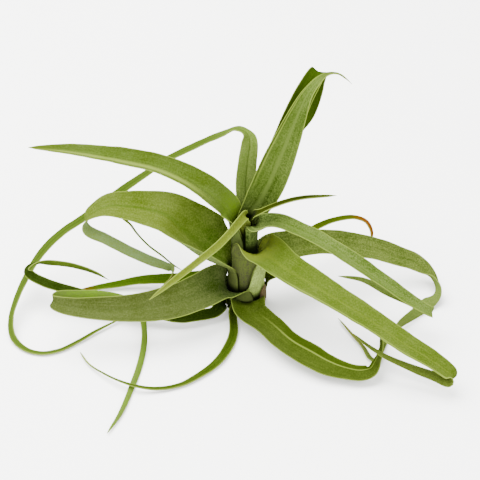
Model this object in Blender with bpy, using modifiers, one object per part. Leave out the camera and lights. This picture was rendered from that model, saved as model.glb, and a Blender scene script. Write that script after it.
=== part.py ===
"""A curly slim air plant: a bulb of clasping leaf bases with long channelled, curling leaves.

Metres, +Z up. The origin is the middle of the flat foot, which stands on the surface at Z = 0.
Each leaf is a strip that clasps the stem in an arc and then follows its own curling midrib.
Midrib points are seen along one line of sight, so they are written as they appear from there:
to the right, upward, and the real height above the surface, in millimetres.
"""
import math

import bmesh
import bpy
import numpy as np

MM = 0.001

# Line of sight in which the midribs are written
SIGHT_ELEVATION = math.radians(35.0)
SIGHT_DISTANCE = 1000.0
SIGHT_CENTRE = (-3.0, 17.2, 24.6)

# Leaf blade
BLADE_THICKNESS = 0.8
STATIONS_PER_SPAN = 2

# Bulb: the leaf bases lie in rings round the stem, each just clear of the next
FOOT_RADIUS = 9.0
FOOT_THICKNESS = 1.5
STEM_RADIUS = 1.3
STEM_HEIGHT = 42.0
STEM_SIDES = 20
RING_INNER_RADIUS = 3.6
RING_SPACING = 1.17
SHEATH_FOOT = FOOT_THICKNESS + 0.35
BULB_HEIGHT = 60.0
BULB_TAPER = 0.8
MOUTH_FLARE = 0.45

# Dry bract
BRACT_RING = 6
BRACT_AZIMUTH = 332.0
BRACT_HALF_SPAN = 17.0
BRACT_HEIGHT = 13.5

TONES = {
    "leaf_olive": ((0.24, 0.36, 0.06), 0.55),
    "leaf_deep_green": ((0.13, 0.22, 0.02), 0.55),
    "leaf_pale_young": ((0.50, 0.60, 0.26), 0.6),
    "dry_bract_tan": ((0.36, 0.26, 0.12), 0.85),
    "stem_woody": ((0.16, 0.11, 0.06), 0.9),
}

# One leaf: name, tone, ring, azimuth and half span of its base in degrees, the height up to which
# its margins cling, the height at which its midrib lets go, half angle of the mouth in degrees,
# segments across, and its blade points. A blade point is right, up, height and width in
# millimetres, half angle of the channel in degrees, and where the upper face looks, as right,
# up and towards the viewer.
LEAVES = [
    ("leaf_hanging_front", "leaf_deep_green", 8, 235, 13, 3.2, 4.4, 13, 4, [
        (-3.6, -38.5, 3.0, 4.6, 30, (0.3, 0.8, 0.6)),
        (-3.3, -46.5, 2.2, 4.8, 30, (0.4, 0.8, 0.6)),
        (-5.4, -52.6, 1.9, 4.8, 30, (0.3, 0.8, 0.6)),
        (-11.1, -60.7, 1.7, 4.4, 30, (0.2, 0.8, 0.7)),
        (-20.6, -67.8, 1.4, 3.6, 30, (0.1, 0.8, 0.7)),
        (-30.0, -72.4, 1.2, 2.9, 25, (0.0, 0.8, 0.6)),
        (-42.0, -74.3, 1.8, 2.5, 20, (0.0, 0.8, 0.6)),
        (-52.0, -73.0, 3.2, 2.0, 20, (0.0, 0.8, 0.6)),
        (-60.0, -70.5, 3.4, 1.5, 20, (0.0, 0.8, 0.6)),
        (-68.0, -66.8, 2.6, 1.2, 20, (0.0, 0.8, 0.6)),
        (-75.5, -62.0, 1.6, 1.0, 20, (0.0, 0.8, 0.6)),
        (-80.0, -56.0, 1.0, 0.8, 20, (0.0, 0.8, 0.6)),
    ]),
    ("leaf_low_left_loop", "leaf_olive", 7, 195, 19, 3.4, 4.2, 19, 4, [
        (-12.0, -35.8, 3.0, 7.0, 35, (0.0, 0.6, 0.8)),
        (-20.0, -37.8, 3.2, 7.2, 35, (0.0, 0.6, 0.8)),
        (-30.0, -38.8, 4.2, 7.2, 35, (0.0, 0.6, 0.8)),
        (-42.0, -37.0, 6.0, 7.0, 35, (0.0, 0.7, 0.7)),
        (-57.5, -33.0, 8.0, 6.6, 35, (0.0, 0.7, 0.7)),
        (-74.0, -28.5, 10.0, 6.0, 30, (0.0, 0.6, 0.8)),
        (-87.0, -24.7, 12.0, 5.6, 30, (0.0, 0.6, 0.8)),
        (-97.0, -21.5, 13.5, 5.4, 30, (-0.1, 0.5, 0.8)),
        (-104.0, -18.0, 15.5, 5.0, 30, (-0.4, 0.5, 0.7)),
        (-106.5, -14.8, 18.0, 5.0, 25, (-0.8, 0.5, 0.5)),
        (-103.5, -12.0, 20.0, 4.8, 22, (-0.4, 0.8, 0.2)),
        (-96.0, -11.3, 20.6, 4.2, 20, (-0.1, 0.85, -0.65)),
        (-86.5, -12.3, 20.0, 3.8, 20, (0.1, 0.8, -0.7)),
        (-79.0, -14.0, 18.6, 3.2, 20, (0.2, 0.8, -0.7)),
        (-71.5, -16.7, 16.0, 2.4, 20, (0.3, 0.8, -0.6)),
        (-65.5, -20.0, 13.0, 0.8, 20, (0.3, 0.9, -0.4)),
    ]),
    ("leaf_low_back_left", "leaf_deep_green", 7, 147, 16, 4.0, 6.0, 16, 2, [
        (-14.0, -18.0, 9.5, 6.8, 35, (0.1, 0.6, 0.8)),
        (-22.0, -18.3, 9.0, 6.8, 35, (0.0, 0.6, 0.8)),
        (-31.0, -19.2, 7.4, 6.7, 35, (0.0, 0.6, 0.8)),
        (-41.0, -19.6, 5.4, 6.4, 35, (0.0, 0.6, 0.8)),
        (-51.0, -20.3, 4.0, 5.4, 30, (0.0, 0.6, 0.8)),
        (-62.0, -22.2, 2.6, 4.2, 25, (0.0, 0.6, 0.8)),
        (-73.0, -24.0, 1.8, 3.0, 20, (0.0, 0.6, 0.8)),
        (-82.5, -25.8, 1.3, 1.2, 20, (0.0, 0.6, 0.8)),
    ]),
    ("leaf_arched_back_right", "leaf_olive", 6, 8, 14, 8.0, 9.5, 14, 4, [
        (16.5, -16.6, 13.0, 8.6, 34, (-0.1, 0.75, 0.65)),
        (24.0, -9.6, 17.0, 7.4, 32, (-0.3, 0.8, 0.5)),
        (32.5, 2.6, 23.0, 5.0, 30, (-0.3, 0.8, 0.6)),
        (42.0, 8.2, 24.0, 4.4, 25, (-0.1, 0.8, 0.65)),
        (50.0, 10.7, 23.2, 4.0, 25, (0.0, 0.8, 0.65)),
        (57.0, 11.4, 21.5, 3.6, 20, (0.2, 0.8, 0.6)),
        (63.0, 9.3, 18.8, 3.2, 20, (0.5, 0.65, 0.6)),
        (65.6, 5.0, 15.5, 2.6, 20, (0.7, 0.2, 0.7)),
        (65.8, 1.5, 13.0, 1.8, 20, (0.7, 0.0, 0.7)),
        (64.0, -2.0, 11.0, 0.8, 20, (0.9, 0.0, 0.0)),
    ]),
    ("leaf_low_front_right", "leaf_olive", 7, 271, 50, 5.0, 7.0, 47, 6, [
        (4.5, -35.3, 8.8, 18.8, 46, (0.15, 0.74, 0.65)),
        (14.4, -43.6, 8.8, 16.8, 42, (0.22, 0.66, 0.72)),
        (24.5, -52.2, 8.0, 15.2, 38, (0.2, 0.6, 0.78)),
        (34.4, -58.0, 7.2, 14.6, 38, (0.14, 0.55, 0.82)),
        (43.6, -62.8, 6.4, 12.4, 38, (0.06, 0.5, 0.86)),
        (52.3, -65.6, 5.6, 9.6, 36, (-0.05, 0.48, 0.88)),
        (60.2, -66.8, 5.2, 8.6, 34, (-0.2, 0.45, 0.87)),
        (65.6, -65.4, 5.4, 7.8, 32, (-0.5, 0.35, 0.8)),
        (68.5, -60.8, 5.8, 5.8, 30, (-0.6, 0.2, 0.75)),
        (70.3, -56.0, 5.8, 4.2, 28, (-0.6, 0.0, 0.75)),
        (70.9, -52.0, 5.4, 3.2, 25, (-0.6, 0.0, 0.75)),
        (70.2, -48.0, 4.8, 1.8, 20, (-0.6, 0.0, 0.75)),
    ]),
    ("leaf_broad_left", "leaf_olive", 6, 222, 72, 6.5, 9.0, 61, 8, [
        (-8.9, -21.5, 18.1, 21.8, 53, (0.5, 0.45, 0.69)),
        (-19.5, -25.9, 20.4, 20.0, 44, (0.15, 0.35, 0.9)),
        (-29.5, -30.0, 20.0, 18.5, 38, (0.1, 0.35, 0.93)),
        (-40.0, -32.6, 20.0, 17.2, 36, (0.1, 0.3, 0.94)),
        (-50.0, -34.0, 20.8, 15.6, 36, (0.05, 0.3, 0.94)),
        (-61.0, -34.6, 21.6, 13.8, 38, (0.0, 0.3, 0.94)),
        (-74.0, -34.4, 22.4, 12.0, 40, (0.0, 0.3, 0.94)),
        (-84.5, -33.5, 23.0, 9.8, 40, (-0.1, 0.3, 0.94)),
        (-91.0, -32.0, 23.2, 8.0, 38, (-0.4, 0.3, 0.85)),
        (-93.8, -30.0, 23.0, 6.2, 32, (-0.95, 0.2, 0.1)),
        (-90.5, -28.0, 22.5, 5.4, 28, (-0.4, 0.2, -0.9)),
        (-82.0, -27.2, 21.2, 4.4, 26, (0.0, 0.1, -1.0)),
        (-70.0, -27.4, 19.6, 4.2, 26, (0.0, 0.0, -1.0)),
        (-60.0, -29.0, 16.8, 4.0, 26, (-0.1, -0.2, -1.0)),
        (-52.5, -32.5, 12.8, 4.0, 26, (-0.4, -0.3, -0.9)),
        (-48.8, -38.5, 8.8, 3.8, 26, (-0.6, -0.2, -0.8)),
        (-47.8, -45.0, 5.2, 3.6, 26, (-0.6, 0.0, -0.8)),
        (-48.0, -52.5, 2.6, 3.4, 24, (-0.5, -0.2, -0.8)),
        (-50.0, -62.0, 1.4, 3.2, 20, (-0.4, -0.5, -0.75)),
        (-54.5, -74.5, 1.2, 2.8, 20, (-0.2, -0.7, -0.65)),
        (-60.0, -87.0, 1.2, 2.2, 20, (-0.1, -0.75, -0.6)),
        (-66.5, -96.8, 1.1, 0.8, 20, (-0.1, -0.75, -0.6)),
    ]),
    ("leaf_broad_right_back", "leaf_olive", 5, 4, 96, 13.0, 17.8, 70, 8, [
        (17.6, -5.6, 26.0, 24.0, 52, (-0.35, 0.5, 0.8)),
        (25.5, -2.9, 26.2, 18.0, 42, (-0.3, 0.45, 0.85)),
        (38.0, -1.2, 27.6, 14.6, 36, (-0.05, 0.4, 0.9)),
        (51.0, -1.8, 25.6, 14.0, 34, (0.1, 0.4, 0.9)),
        (65.0, -4.0, 21.0, 13.0, 32, (0.15, 0.4, 0.9)),
        (77.0, -7.5, 16.0, 12.0, 32, (0.2, 0.4, 0.9)),
        (88.0, -11.5, 10.6, 10.4, 32, (0.35, 0.4, 0.85)),
        (94.2, -16.2, 6.6, 8.8, 30, (0.65, 0.3, 0.7)),
        (98.0, -21.3, 4.6, 8.2, 28, (0.9, 0.1, 0.35)),
        (98.3, -26.2, 3.8, 7.8, 26, (0.75, 0.0, -0.6)),
        (94.5, -31.0, 3.2, 7.0, 26, (0.35, 0.1, -0.9)),
        (88.0, -36.3, 3.2, 5.8, 24, (0.2, 0.3, -0.9)),
        (80.5, -41.8, 2.9, 4.4, 22, (0.2, 0.5, -0.8)),
        (74.0, -48.0, 1.8, 3.2, 20, (0.3, 0.8, -0.2)),
        (70.6, -55.0, 1.4, 2.8, 20, (0.2, 0.9, 0.2)),
        (67.8, -60.2, 1.3, 2.8, 20, (0.0, 0.9, 0.3)),
        (65.3, -59.2, 1.3, 2.7, 20, (0.1, 0.9, 0.4)),
        (61.6, -53.4, 1.4, 2.4, 20, (0.3, 0.8, 0.4)),
        (56.1, -47.2, 1.5, 1.8, 20, (0.3, 0.8, 0.4)),
        (49.0, -39.0, 1.5, 0.8, 20, (0.3, 0.8, 0.4)),
    ]),
    ("leaf_back_slim", "leaf_deep_green", 6, 121, 24, 12.0, 17.0, 24, 4, [
        (-9.0, -5.0, 22.0, 7.0, 35, (0.2, 0.7, 0.6)),
        (-15.0, 0.6, 29.0, 6.6, 35, (0.1, 0.7, 0.7)),
        (-28.0, 9.0, 37.0, 5.6, 30, (0.0, 0.7, 0.7)),
        (-42.0, 14.5, 41.0, 4.6, 25, (0.0, 0.7, 0.7)),
        (-54.0, 15.5, 40.0, 3.4, 20, (-0.1, 0.7, 0.7)),
        (-60.0, 13.6, 36.5, 2.4, 20, (-0.7, 0.5, 0.5)),
        (-58.5, 11.0, 33.8, 1.9, 20, (-0.9, 0.0, -0.3)),
        (-55.0, 8.0, 31.0, 1.6, 20, (-0.6, -0.5, -0.6)),
        (-51.5, 3.3, 27.0, 1.4, 20, (-0.6, -0.5, -0.6)),
        (-45.8, -2.7, 21.0, 1.3, 20, (-0.6, -0.5, -0.6)),
        (-39.0, -7.8, 15.4, 1.2, 20, (-0.5, -0.5, -0.7)),
        (-33.5, -12.3, 10.8, 1.0, 20, (-0.5, -0.5, -0.7)),
        (-29.0, -15.2, 8.0, 0.8, 20, (-0.5, -0.5, -0.7)),
    ]),
    ("leaf_curl_left", "leaf_olive", 5, 177, 71, 12.0, 22.0, 64, 8, [
        (-15.8, -0.5, 37.2, 38.5, 86, (0.5, 0.48, 0.7)),
        (-26.4, 7.2, 45.0, 34.0, 72, (0.32, 0.48, 0.82)),
        (-36.4, 13.2, 50.6, 24.4, 46, (0.1, 0.38, 0.92)),
        (-47.0, 15.8, 52.0, 18.6, 32, (0.0, 0.28, 0.95)),
        (-57.0, 17.2, 51.6, 15.6, 34, (-0.05, 0.28, 0.95)),
        (-65.5, 17.4, 49.8, 12.6, 36, (-0.2, 0.3, 0.92)),
        (-71.5, 15.2, 46.0, 10.4, 34, (-0.6, 0.35, 0.7)),
        (-76.9, 10.8, 40.8, 9.0, 30, (-0.95, 0.1, 0.2)),
        (-76.4, 5.4, 35.2, 8.4, 28, (-0.75, -0.35, -0.5)),
        (-67.0, 0.8, 30.2, 7.4, 28, (-0.4, -0.55, -0.7)),
        (-57.0, -4.6, 24.4, 6.8, 28, (-0.3, -0.55, -0.75)),
        (-46.0, -9.6, 19.2, 6.4, 28, (-0.3, -0.55, -0.75)),
        (-37.3, -12.8, 15.8, 5.6, 26, (-0.2, -0.6, -0.7)),
        (-33.6, -14.9, 13.8, 3.4, 20, (0.8, -0.4, -0.4)),
        (-34.0, -18.0, 11.8, 2.0, 20, (0.9, -0.2, 0.3)),
        (-37.3, -21.8, 9.4, 1.4, 20, (0.6, -0.5, 0.6)),
        (-40.5, -24.6, 7.6, 0.8, 20, (0.6, -0.5, 0.6)),
    ]),
    ("leaf_broad_right_front", "leaf_olive", 4, 301, 96, 30.0, 33.0, 80, 8, [
        (13.3, -6.5, 39.4, 22.4, 55, (-0.15, 0.62, 0.77)),
        (21.5, -12.8, 38.8, 18.6, 38, (0.1, 0.5, 0.85)),
        (32.0, -19.3, 37.2, 16.6, 34, (0.2, 0.4, 0.9)),
        (45.0, -27.2, 34.4, 14.2, 32, (0.22, 0.37, 0.9)),
        (58.0, -35.2, 30.6, 12.8, 32, (0.22, 0.37, 0.9)),
        (70.0, -43.0, 26.4, 12.0, 32, (0.22, 0.37, 0.9)),
        (82.0, -51.4, 21.8, 11.6, 34, (0.25, 0.35, 0.9)),
        (94.0, -58.7, 17.0, 10.6, 36, (0.28, 0.33, 0.9)),
        (102.5, -64.7, 12.8, 9.4, 36, (0.4, 0.3, 0.87)),
        (106.4, -68.6, 9.8, 8.2, 30, (0.85, -0.3, 0.4)),
        (104.6, -70.6, 7.8, 6.4, 26, (0.5, -0.5, -0.7)),
        (97.5, -68.2, 7.2, 5.0, 24, (0.0, -0.3, -0.95)),
        (89.5, -65.4, 7.6, 4.2, 24, (-0.1, -0.25, -0.95)),
        (80.5, -61.8, 9.2, 3.2, 22, (-0.1, -0.25, -0.95)),
        (72.0, -57.9, 10.6, 2.4, 20, (-0.1, -0.25, -0.95)),
        (64.0, -52.8, 11.6, 1.7, 20, (-0.1, -0.25, -0.95)),
        (56.5, -46.8, 11.8, 0.8, 20, (-0.1, -0.25, -0.95)),
    ]),
    ("leaf_long_upper_left", "leaf_olive", 3, 188, 72, 40.0, 44.0, 57, 8, [
        (-6.0, 16.0, 54.6, 16.2, 52, (0.5, 0.3, 0.8)),
        (-11.9, 21.8, 61.0, 15.8, 46, (0.35, 0.4, 0.85)),
        (-20.2, 28.3, 67.0, 14.4, 42, (0.2, 0.42, 0.88)),
        (-31.0, 34.1, 71.2, 12.4, 42, (0.12, 0.42, 0.9)),
        (-43.5, 38.6, 73.6, 11.4, 42, (0.1, 0.4, 0.9)),
        (-56.0, 41.2, 73.8, 10.6, 42, (0.05, 0.4, 0.9)),
        (-69.0, 43.3, 72.2, 9.0, 42, (0.0, 0.4, 0.9)),
        (-82.0, 45.0, 69.6, 7.0, 40, (0.0, 0.4, 0.9)),
        (-94.5, 46.0, 66.8, 4.2, 30, (0.0, 0.4, 0.9)),
        (-106.0, 46.3, 64.0, 0.8, 20, (0.0, 0.4, 0.9)),
    ]),
    ("leaf_long_loop", "leaf_olive", 3, 78, 26, 36.0, 42.0, 26, 4, [
        (3.2, 18.0, 51.4, 9.4, 28, (0.0, -0.2, 0.98)),
        (2.8, 28.5, 61.4, 10.0, 24, (0.0, -0.2, 0.98)),
        (3.8, 39.5, 73.0, 9.4, 24, (0.0, -0.15, 0.98)),
        (4.8, 48.5, 82.2, 8.4, 26, (-0.1, 0.1, 0.98)),
        (3.8, 53.0, 85.6, 6.4, 28, (0.2, 0.75, 0.6)),
        (-1.5, 55.6, 85.6, 6.0, 26, (0.0, 0.85, 0.5)),
        (-8.0, 53.2, 80.6, 5.4, 24, (-0.25, 0.7, 0.65)),
        (-20.0, 48.2, 70.2, 5.0, 22, (-0.3, 0.6, 0.75)),
        (-36.8, 40.0, 57.6, 4.6, 22, (-0.35, 0.6, 0.75)),
        (-46.8, 33.2, 48.3, 4.8, 22, (-0.4, 0.55, 0.75)),
        (-58.0, 25.6, 40.3, 5.2, 22, (-0.4, 0.5, 0.8)),
        (-68.5, 18.1, 34.5, 5.2, 22, (-0.45, 0.5, 0.8)),
        (-78.5, 10.8, 29.9, 5.2, 22, (-0.45, 0.5, 0.8)),
        (-87.0, 5.2, 26.5, 5.0, 22, (-0.45, 0.45, 0.85)),
        (-94.8, -1.4, 21.9, 4.8, 22, (-0.5, 0.35, 0.9)),
        (-101.5, -9.5, 15.6, 4.6, 22, (-0.5, 0.3, 0.9)),
        (-107.0, -19.0, 11.0, 4.2, 22, (-0.5, 0.2, 0.9)),
        (-111.5, -29.0, 7.6, 3.8, 22, (-0.5, 0.2, 0.9)),
        (-114.5, -39.5, 4.8, 3.4, 22, (-0.5, 0.4, 0.7)),
        (-113.3, -48.8, 2.4, 3.2, 22, (-0.4, 0.7, 0.5)),
        (-107.0, -54.7, 1.2, 2.9, 20, (-0.2, 0.8, 0.5)),
        (-99.0, -56.6, 1.0, 2.8, 20, (0.0, 0.8, 0.55)),
        (-90.5, -55.2, 1.0, 2.6, 20, (0.0, 0.8, 0.55)),
        (-81.5, -51.0, 1.1, 2.3, 20, (0.0, 0.8, 0.55)),
        (-71.0, -45.0, 1.4, 1.9, 20, (0.0, 0.8, 0.55)),
        (-59.0, -39.0, 1.6, 0.8, 20, (0.0, 0.8, 0.55)),
    ]),
    ("leaf_tall_back", "leaf_olive", 2, 64, 55, 40.0, 46.0, 50, 6, [
        (12.8, 26.0, 62.0, 15.0, 48, (-0.15, 0.0, 0.98)),
        (18.8, 40.0, 78.5, 13.8, 42, (-0.15, 0.0, 0.98)),
        (25.0, 56.0, 94.5, 12.4, 40, (-0.15, 0.05, 0.98)),
        (31.2, 70.4, 108.2, 11.2, 40, (-0.15, 0.1, 0.98)),
        (36.3, 79.8, 116.0, 10.0, 38, (0.0, 0.4, 0.9)),
        (39.3, 84.6, 117.6, 8.2, 32, (0.3, 0.9, 0.2)),
        (39.7, 80.0, 109.4, 7.0, 28, (0.8, 0.4, -0.6)),
        (37.8, 71.0, 98.0, 6.0, 24, (0.5, 0.1, -0.85)),
        (35.0, 62.5, 87.4, 4.4, 22, (0.4, 0.1, -0.9)),
        (31.5, 54.5, 79.0, 0.8, 20, (0.5, 0.2, -0.85)),
    ]),
    ("leaf_right_upper", "leaf_olive", 2, 312, 50, 44.0, 48.0, 49, 6, [
        (9.2, 7.8, 51.0, 11.4, 58, (-0.75, 0.45, 0.5)),
        (14.0, 9.2, 53.2, 11.6, 54, (-0.4, 0.7, 0.6)),
        (20.4, 8.8, 53.2, 11.0, 48, (0.0, 0.7, 0.7)),
        (28.0, 5.8, 52.0, 10.2, 48, (0.15, 0.6, 0.75)),
        (38.0, 1.2, 49.2, 9.4, 48, (0.2, 0.55, 0.8)),
        (50.0, -6.0, 44.0, 9.4, 48, (0.22, 0.5, 0.82)),
        (62.0, -13.8, 37.6, 9.2, 48, (0.25, 0.5, 0.82)),
        (74.0, -22.2, 31.0, 8.4, 46, (0.25, 0.5, 0.82)),
        (84.0, -29.2, 25.4, 7.4, 42, (0.3, 0.45, 0.82)),
        (92.5, -34.4, 20.6, 6.4, 36, (0.45, 0.4, 0.8)),
        (96.2, -36.2, 17.8, 5.2, 28, (0.9, -0.1, 0.4)),
        (93.4, -35.2, 16.0, 4.6, 26, (0.3, -0.4, -0.85)),
        (85.0, -31.0, 17.4, 4.2, 24, (-0.1, -0.3, -0.95)),
        (73.0, -25.6, 21.4, 4.0, 24, (-0.2, -0.3, -0.93)),
        (61.5, -20.0, 26.0, 2.6, 22, (-0.2, -0.3, -0.93)),
        (49.0, -18.0, 28.0, 0.8, 20, (-0.2, -0.3, -0.93)),
    ]),
    ("leaf_tall_front", "leaf_olive", 1, 84, 76, 40.0, 46.0, 70, 6, [
        (9.4, 19.0, 57.0, 16.4, 62, (-0.1, -0.15, 0.98)),
        (14.1, 27.5, 67.5, 17.8, 52, (-0.1, -0.1, 0.98)),
        (19.5, 40.0, 82.0, 16.6, 44, (-0.1, -0.1, 0.98)),
        (24.1, 51.0, 93.3, 13.8, 42, (-0.1, -0.05, 0.98)),
        (28.8, 62.5, 104.5, 10.2, 42, (-0.1, 0.0, 0.98)),
        (33.5, 72.5, 113.6, 6.6, 38, (-0.1, 0.3, 0.95)),
        (39.0, 79.5, 119.4, 4.6, 30, (-0.1, 0.6, 0.8)),
        (44.0, 83.0, 122.0, 3.6, 24, (0.0, 0.9, 0.4)),
        (49.0, 83.3, 121.4, 2.8, 20, (0.2, 0.9, 0.2)),
        (53.0, 80.8, 118.2, 1.8, 20, (0.6, 0.7, 0.1)),
        (56.0, 78.0, 114.8, 0.8, 20, (0.6, 0.7, 0.1)),
    ]),
    ("leaf_young_left", "leaf_pale_young", 0, 243, 57, 41.5, 47.5, 57, 4, [
        (2.8, 12.4, 55.0, 6.0, 72, (0.6, 0.3, 0.7)),
        (-4.5, 4.0, 48.4, 4.2, 45, (0.3, 0.2, 0.93)),
        (-11.0, -2.8, 44.2, 4.0, 42, (0.3, 0.3, 0.9)),
        (-22.0, -11.6, 40.0, 3.6, 40, (0.3, 0.3, 0.9)),
        (-33.5, -20.5, 34.8, 3.0, 35, (0.3, 0.3, 0.9)),
        (-45.5, -30.0, 29.0, 0.8, 20, (0.3, 0.3, 0.9)),
    ]),
    ("leaf_young_right", "leaf_olive", 0, 352, 40, 44.0, 51.0, 40, 2, [
        (10.0, 14.0, 58.0, 3.8, 55, (-0.7, 0.4, 0.6)),
        (17.5, 17.4, 61.0, 3.4, 50, (-0.3, 0.6, 0.7)),
        (25.5, 20.0, 62.4, 3.0, 45, (-0.1, 0.6, 0.7)),
        (34.0, 21.5, 62.4, 2.6, 40, (0.0, 0.6, 0.7)),
        (42.5, 22.0, 61.0, 1.8, 30, (0.0, 0.6, 0.7)),
        (48.3, 22.3, 59.6, 0.8, 20, (0.0, 0.6, 0.7)),
    ]),
]


def clear_scene():
    """Remove every object so that the file holds only the plant."""
    for item in list(bpy.data.objects):
        bpy.data.objects.remove(item, do_unlink=True)


def sight_vectors():
    """Unit vectors to the right, upward and towards the viewer, in the plant's frame."""
    rise, run = math.sin(SIGHT_ELEVATION), math.cos(SIGHT_ELEVATION)
    return np.array([1.0, 0.0, 0.0]), np.array([0.0, rise, run]), np.array([0.0, -run, rise])


def seen_point(right, up, height):
    """Place a point that is seen at (right, up) and lies at a height above the surface."""
    across, upward, towards = sight_vectors()
    centre = np.array(SIGHT_CENTRE)
    nearer = (height - centre[2] - up * upward[2]) / (towards[2] - up * upward[2] / SIGHT_DISTANCE)
    shrink = 1.0 - nearer / SIGHT_DISTANCE
    return centre + right * shrink * across + up * shrink * upward + nearer * towards


def seen_direction(right, up, nearer):
    """Turn a direction written along the line of sight into the plant's frame."""
    across, upward, towards = sight_vectors()
    return right * across + up * upward + nearer * towards


def ring_radius(ring, height):
    """Radius of a ring of leaf bases, which narrows evenly towards the foot of the bulb."""
    return RING_INNER_RADIUS + ring * RING_SPACING - BULB_TAPER * (1.0 - height / BULB_HEIGHT)


def sheath_rows(ring, azimuth, half_span, cling, top, mouth):
    """Control rows of the clasping base: place, width, channel half angle and face.

    The margins cling to the bulb up to one height and the midrib up to a greater one, where the
    section has opened from the half span to the half angle of the mouth.
    """
    outward = np.array([math.cos(math.radians(azimuth)), math.sin(math.radians(azimuth)), 0.0])
    rows = []
    for height, opening, flare in ((SHEATH_FOOT, half_span, 0.0), (cling, half_span, 0.0),
                                   (top, mouth, MOUTH_FLARE)):
        radius = ring_radius(ring, height) + flare
        place = outward * radius + np.array([0.0, 0.0, height])
        width = 2.0 * radius * math.radians(0.5 * (half_span + opening))
        rows.append(np.concatenate((place, (width, math.radians(opening)), -outward)))
    return rows


def blade_rows(points):
    """Control rows of the free blade."""
    rows = []
    for right, up, height, width, channel, face in points:
        look = seen_direction(*face)
        look = look / np.linalg.norm(look)
        bend = math.radians(channel)
        depth = 0.5 * width / bend * (1.0 - math.cos(bend))
        place = seen_point(right, up, height) - 0.5 * depth * look
        rows.append(np.concatenate((place, (width, bend), look)))
    return rows


def smooth_rows(rows, per_span):
    """Pass a smooth curve through the control rows, with the same number of steps in each span."""
    rows = np.array(rows)
    knots = np.concatenate(([0.0], np.cumsum(np.sqrt(np.linalg.norm(np.diff(rows[:, :3], axis=0), axis=1)))))
    slopes = np.empty_like(rows)
    before = np.diff(rows, axis=0) / np.diff(knots)[:, None]
    slopes[0], slopes[-1] = before[0], before[-1]
    gaps = np.diff(knots)[:, None]
    slopes[1:-1] = (before[:-1] * gaps[1:] + before[1:] * gaps[:-1]) / (gaps[1:] + gaps[:-1])
    result = []
    for index in range(len(rows) - 1):
        gap = knots[index + 1] - knots[index]
        for step in range(per_span):
            t = step / per_span
            near = (1 + 2 * t) * (1 - t) ** 2 * rows[index] + t * (1 - t) ** 2 * gap * slopes[index]
            far = t * t * (3 - 2 * t) * rows[index + 1] + t * t * (t - 1) * gap * slopes[index + 1]
            result.append(near + far)
    result.append(rows[-1])
    return np.array(result)


def section_point(row, tangent, side):
    """One point of a leaf's cross-section, an arc that opens towards the upper face."""
    place, width, channel, face = row[:3], row[3], row[4], row[5:8]
    sideways = np.cross(tangent, face)
    sideways = sideways / np.linalg.norm(sideways)
    upright = np.cross(sideways, tangent)
    radius = 0.5 * width / channel
    turn = side * channel
    return place + sideways * radius * math.sin(turn) + upright * radius * (1.0 - math.cos(turn))


def leaf_mesh(name, rows, segments):
    """Bend a flat grid into the leaf's strip, split into triangles alike all along."""
    path = smooth_rows(rows, STATIONS_PER_SPAN)
    tangents = np.gradient(path[:, :3], axis=0)
    tangents = tangents / np.linalg.norm(tangents, axis=1)[:, None]
    last = len(path) - 1
    bm = bmesh.new()
    bmesh.ops.create_grid(bm, x_segments=segments, y_segments=last, size=1.0)
    for vertex in bm.verts:
        side = vertex.co.x
        station = round((vertex.co.y + 1.0) * 0.5 * last)
        vertex.co = section_point(path[station], tangents[station], side) * MM
    bmesh.ops.triangulate(bm, faces=bm.faces[:], quad_method="FIXED")
    mesh = bpy.data.meshes.new(name)
    bm.to_mesh(mesh)
    bm.free()
    return mesh


def tone_material(tone):
    """Plain material of one tone, made once."""
    material = bpy.data.materials.get(tone)
    if material is None:
        colour, roughness = TONES[tone]
        material = bpy.data.materials.new(tone)
        material.use_nodes = True
        shader = material.node_tree.nodes["Principled BSDF"]
        shader.inputs["Base Color"].default_value = (*colour, 1.0)
        shader.inputs["Roughness"].default_value = roughness
        shader.inputs["Metallic"].default_value = 0.0
    return material


def add_piece(collection, name, mesh, tone):
    """Put a mesh in the plant's collection under its own name."""
    mesh.materials.append(tone_material(tone))
    mesh.shade_smooth()
    piece = bpy.data.objects.new(name, mesh)
    collection.objects.link(piece)
    return piece


def thicken(piece):
    """Give a strip the thickness of a leaf, half to each side."""
    solid = piece.modifiers.new("Leaf thickness", "SOLIDIFY")
    solid.thickness = BLADE_THICKNESS * MM
    solid.offset = 0.0
    return solid


def add_leaf(collection, name, tone, ring, azimuth, half_span, cling, top, mouth, segments, points):
    """One leaf, from its clasping base to its tip."""
    rows = sheath_rows(ring, azimuth, half_span, cling, top, mouth) + blade_rows(points)
    thicken(add_piece(collection, name, leaf_mesh(name, rows, segments), tone))


def add_bract(collection):
    """The dead leaf base that still clasps the foot of the bulb."""
    rows = sheath_rows(BRACT_RING, BRACT_AZIMUTH, BRACT_HALF_SPAN, 0.7 * BRACT_HEIGHT, BRACT_HEIGHT,
                       BRACT_HALF_SPAN)
    rows[-1][3] *= 0.4
    thicken(add_piece(collection, "dry_bract", leaf_mesh("dry_bract", rows, 2), "dry_bract_tan"))


def add_stem(collection):
    """The stem: a flat round foot and a slim tapered core, turned from one profile."""
    profile = [
        (0.0, STEM_HEIGHT), (STEM_RADIUS * 0.6, STEM_HEIGHT), (STEM_RADIUS, FOOT_THICKNESS * 2.0),
        (STEM_RADIUS, FOOT_THICKNESS), (FOOT_RADIUS, FOOT_THICKNESS), (FOOT_RADIUS, 0.0), (0.0, 0.0),
    ]
    bm = bmesh.new()
    verts = [bm.verts.new((radius * MM, 0.0, height * MM)) for radius, height in profile]
    for first, second in zip(verts[:-1], verts[1:]):
        bm.edges.new((first, second))
    mesh = bpy.data.meshes.new("stem")
    bm.to_mesh(mesh)
    bm.free()
    piece = add_piece(collection, "stem", mesh, "stem_woody")
    turn = piece.modifiers.new("Turned", "SCREW")
    turn.steps = STEM_SIDES
    turn.render_steps = STEM_SIDES
    turn.use_merge_vertices = True
    turn.merge_threshold = 0.00001


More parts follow.
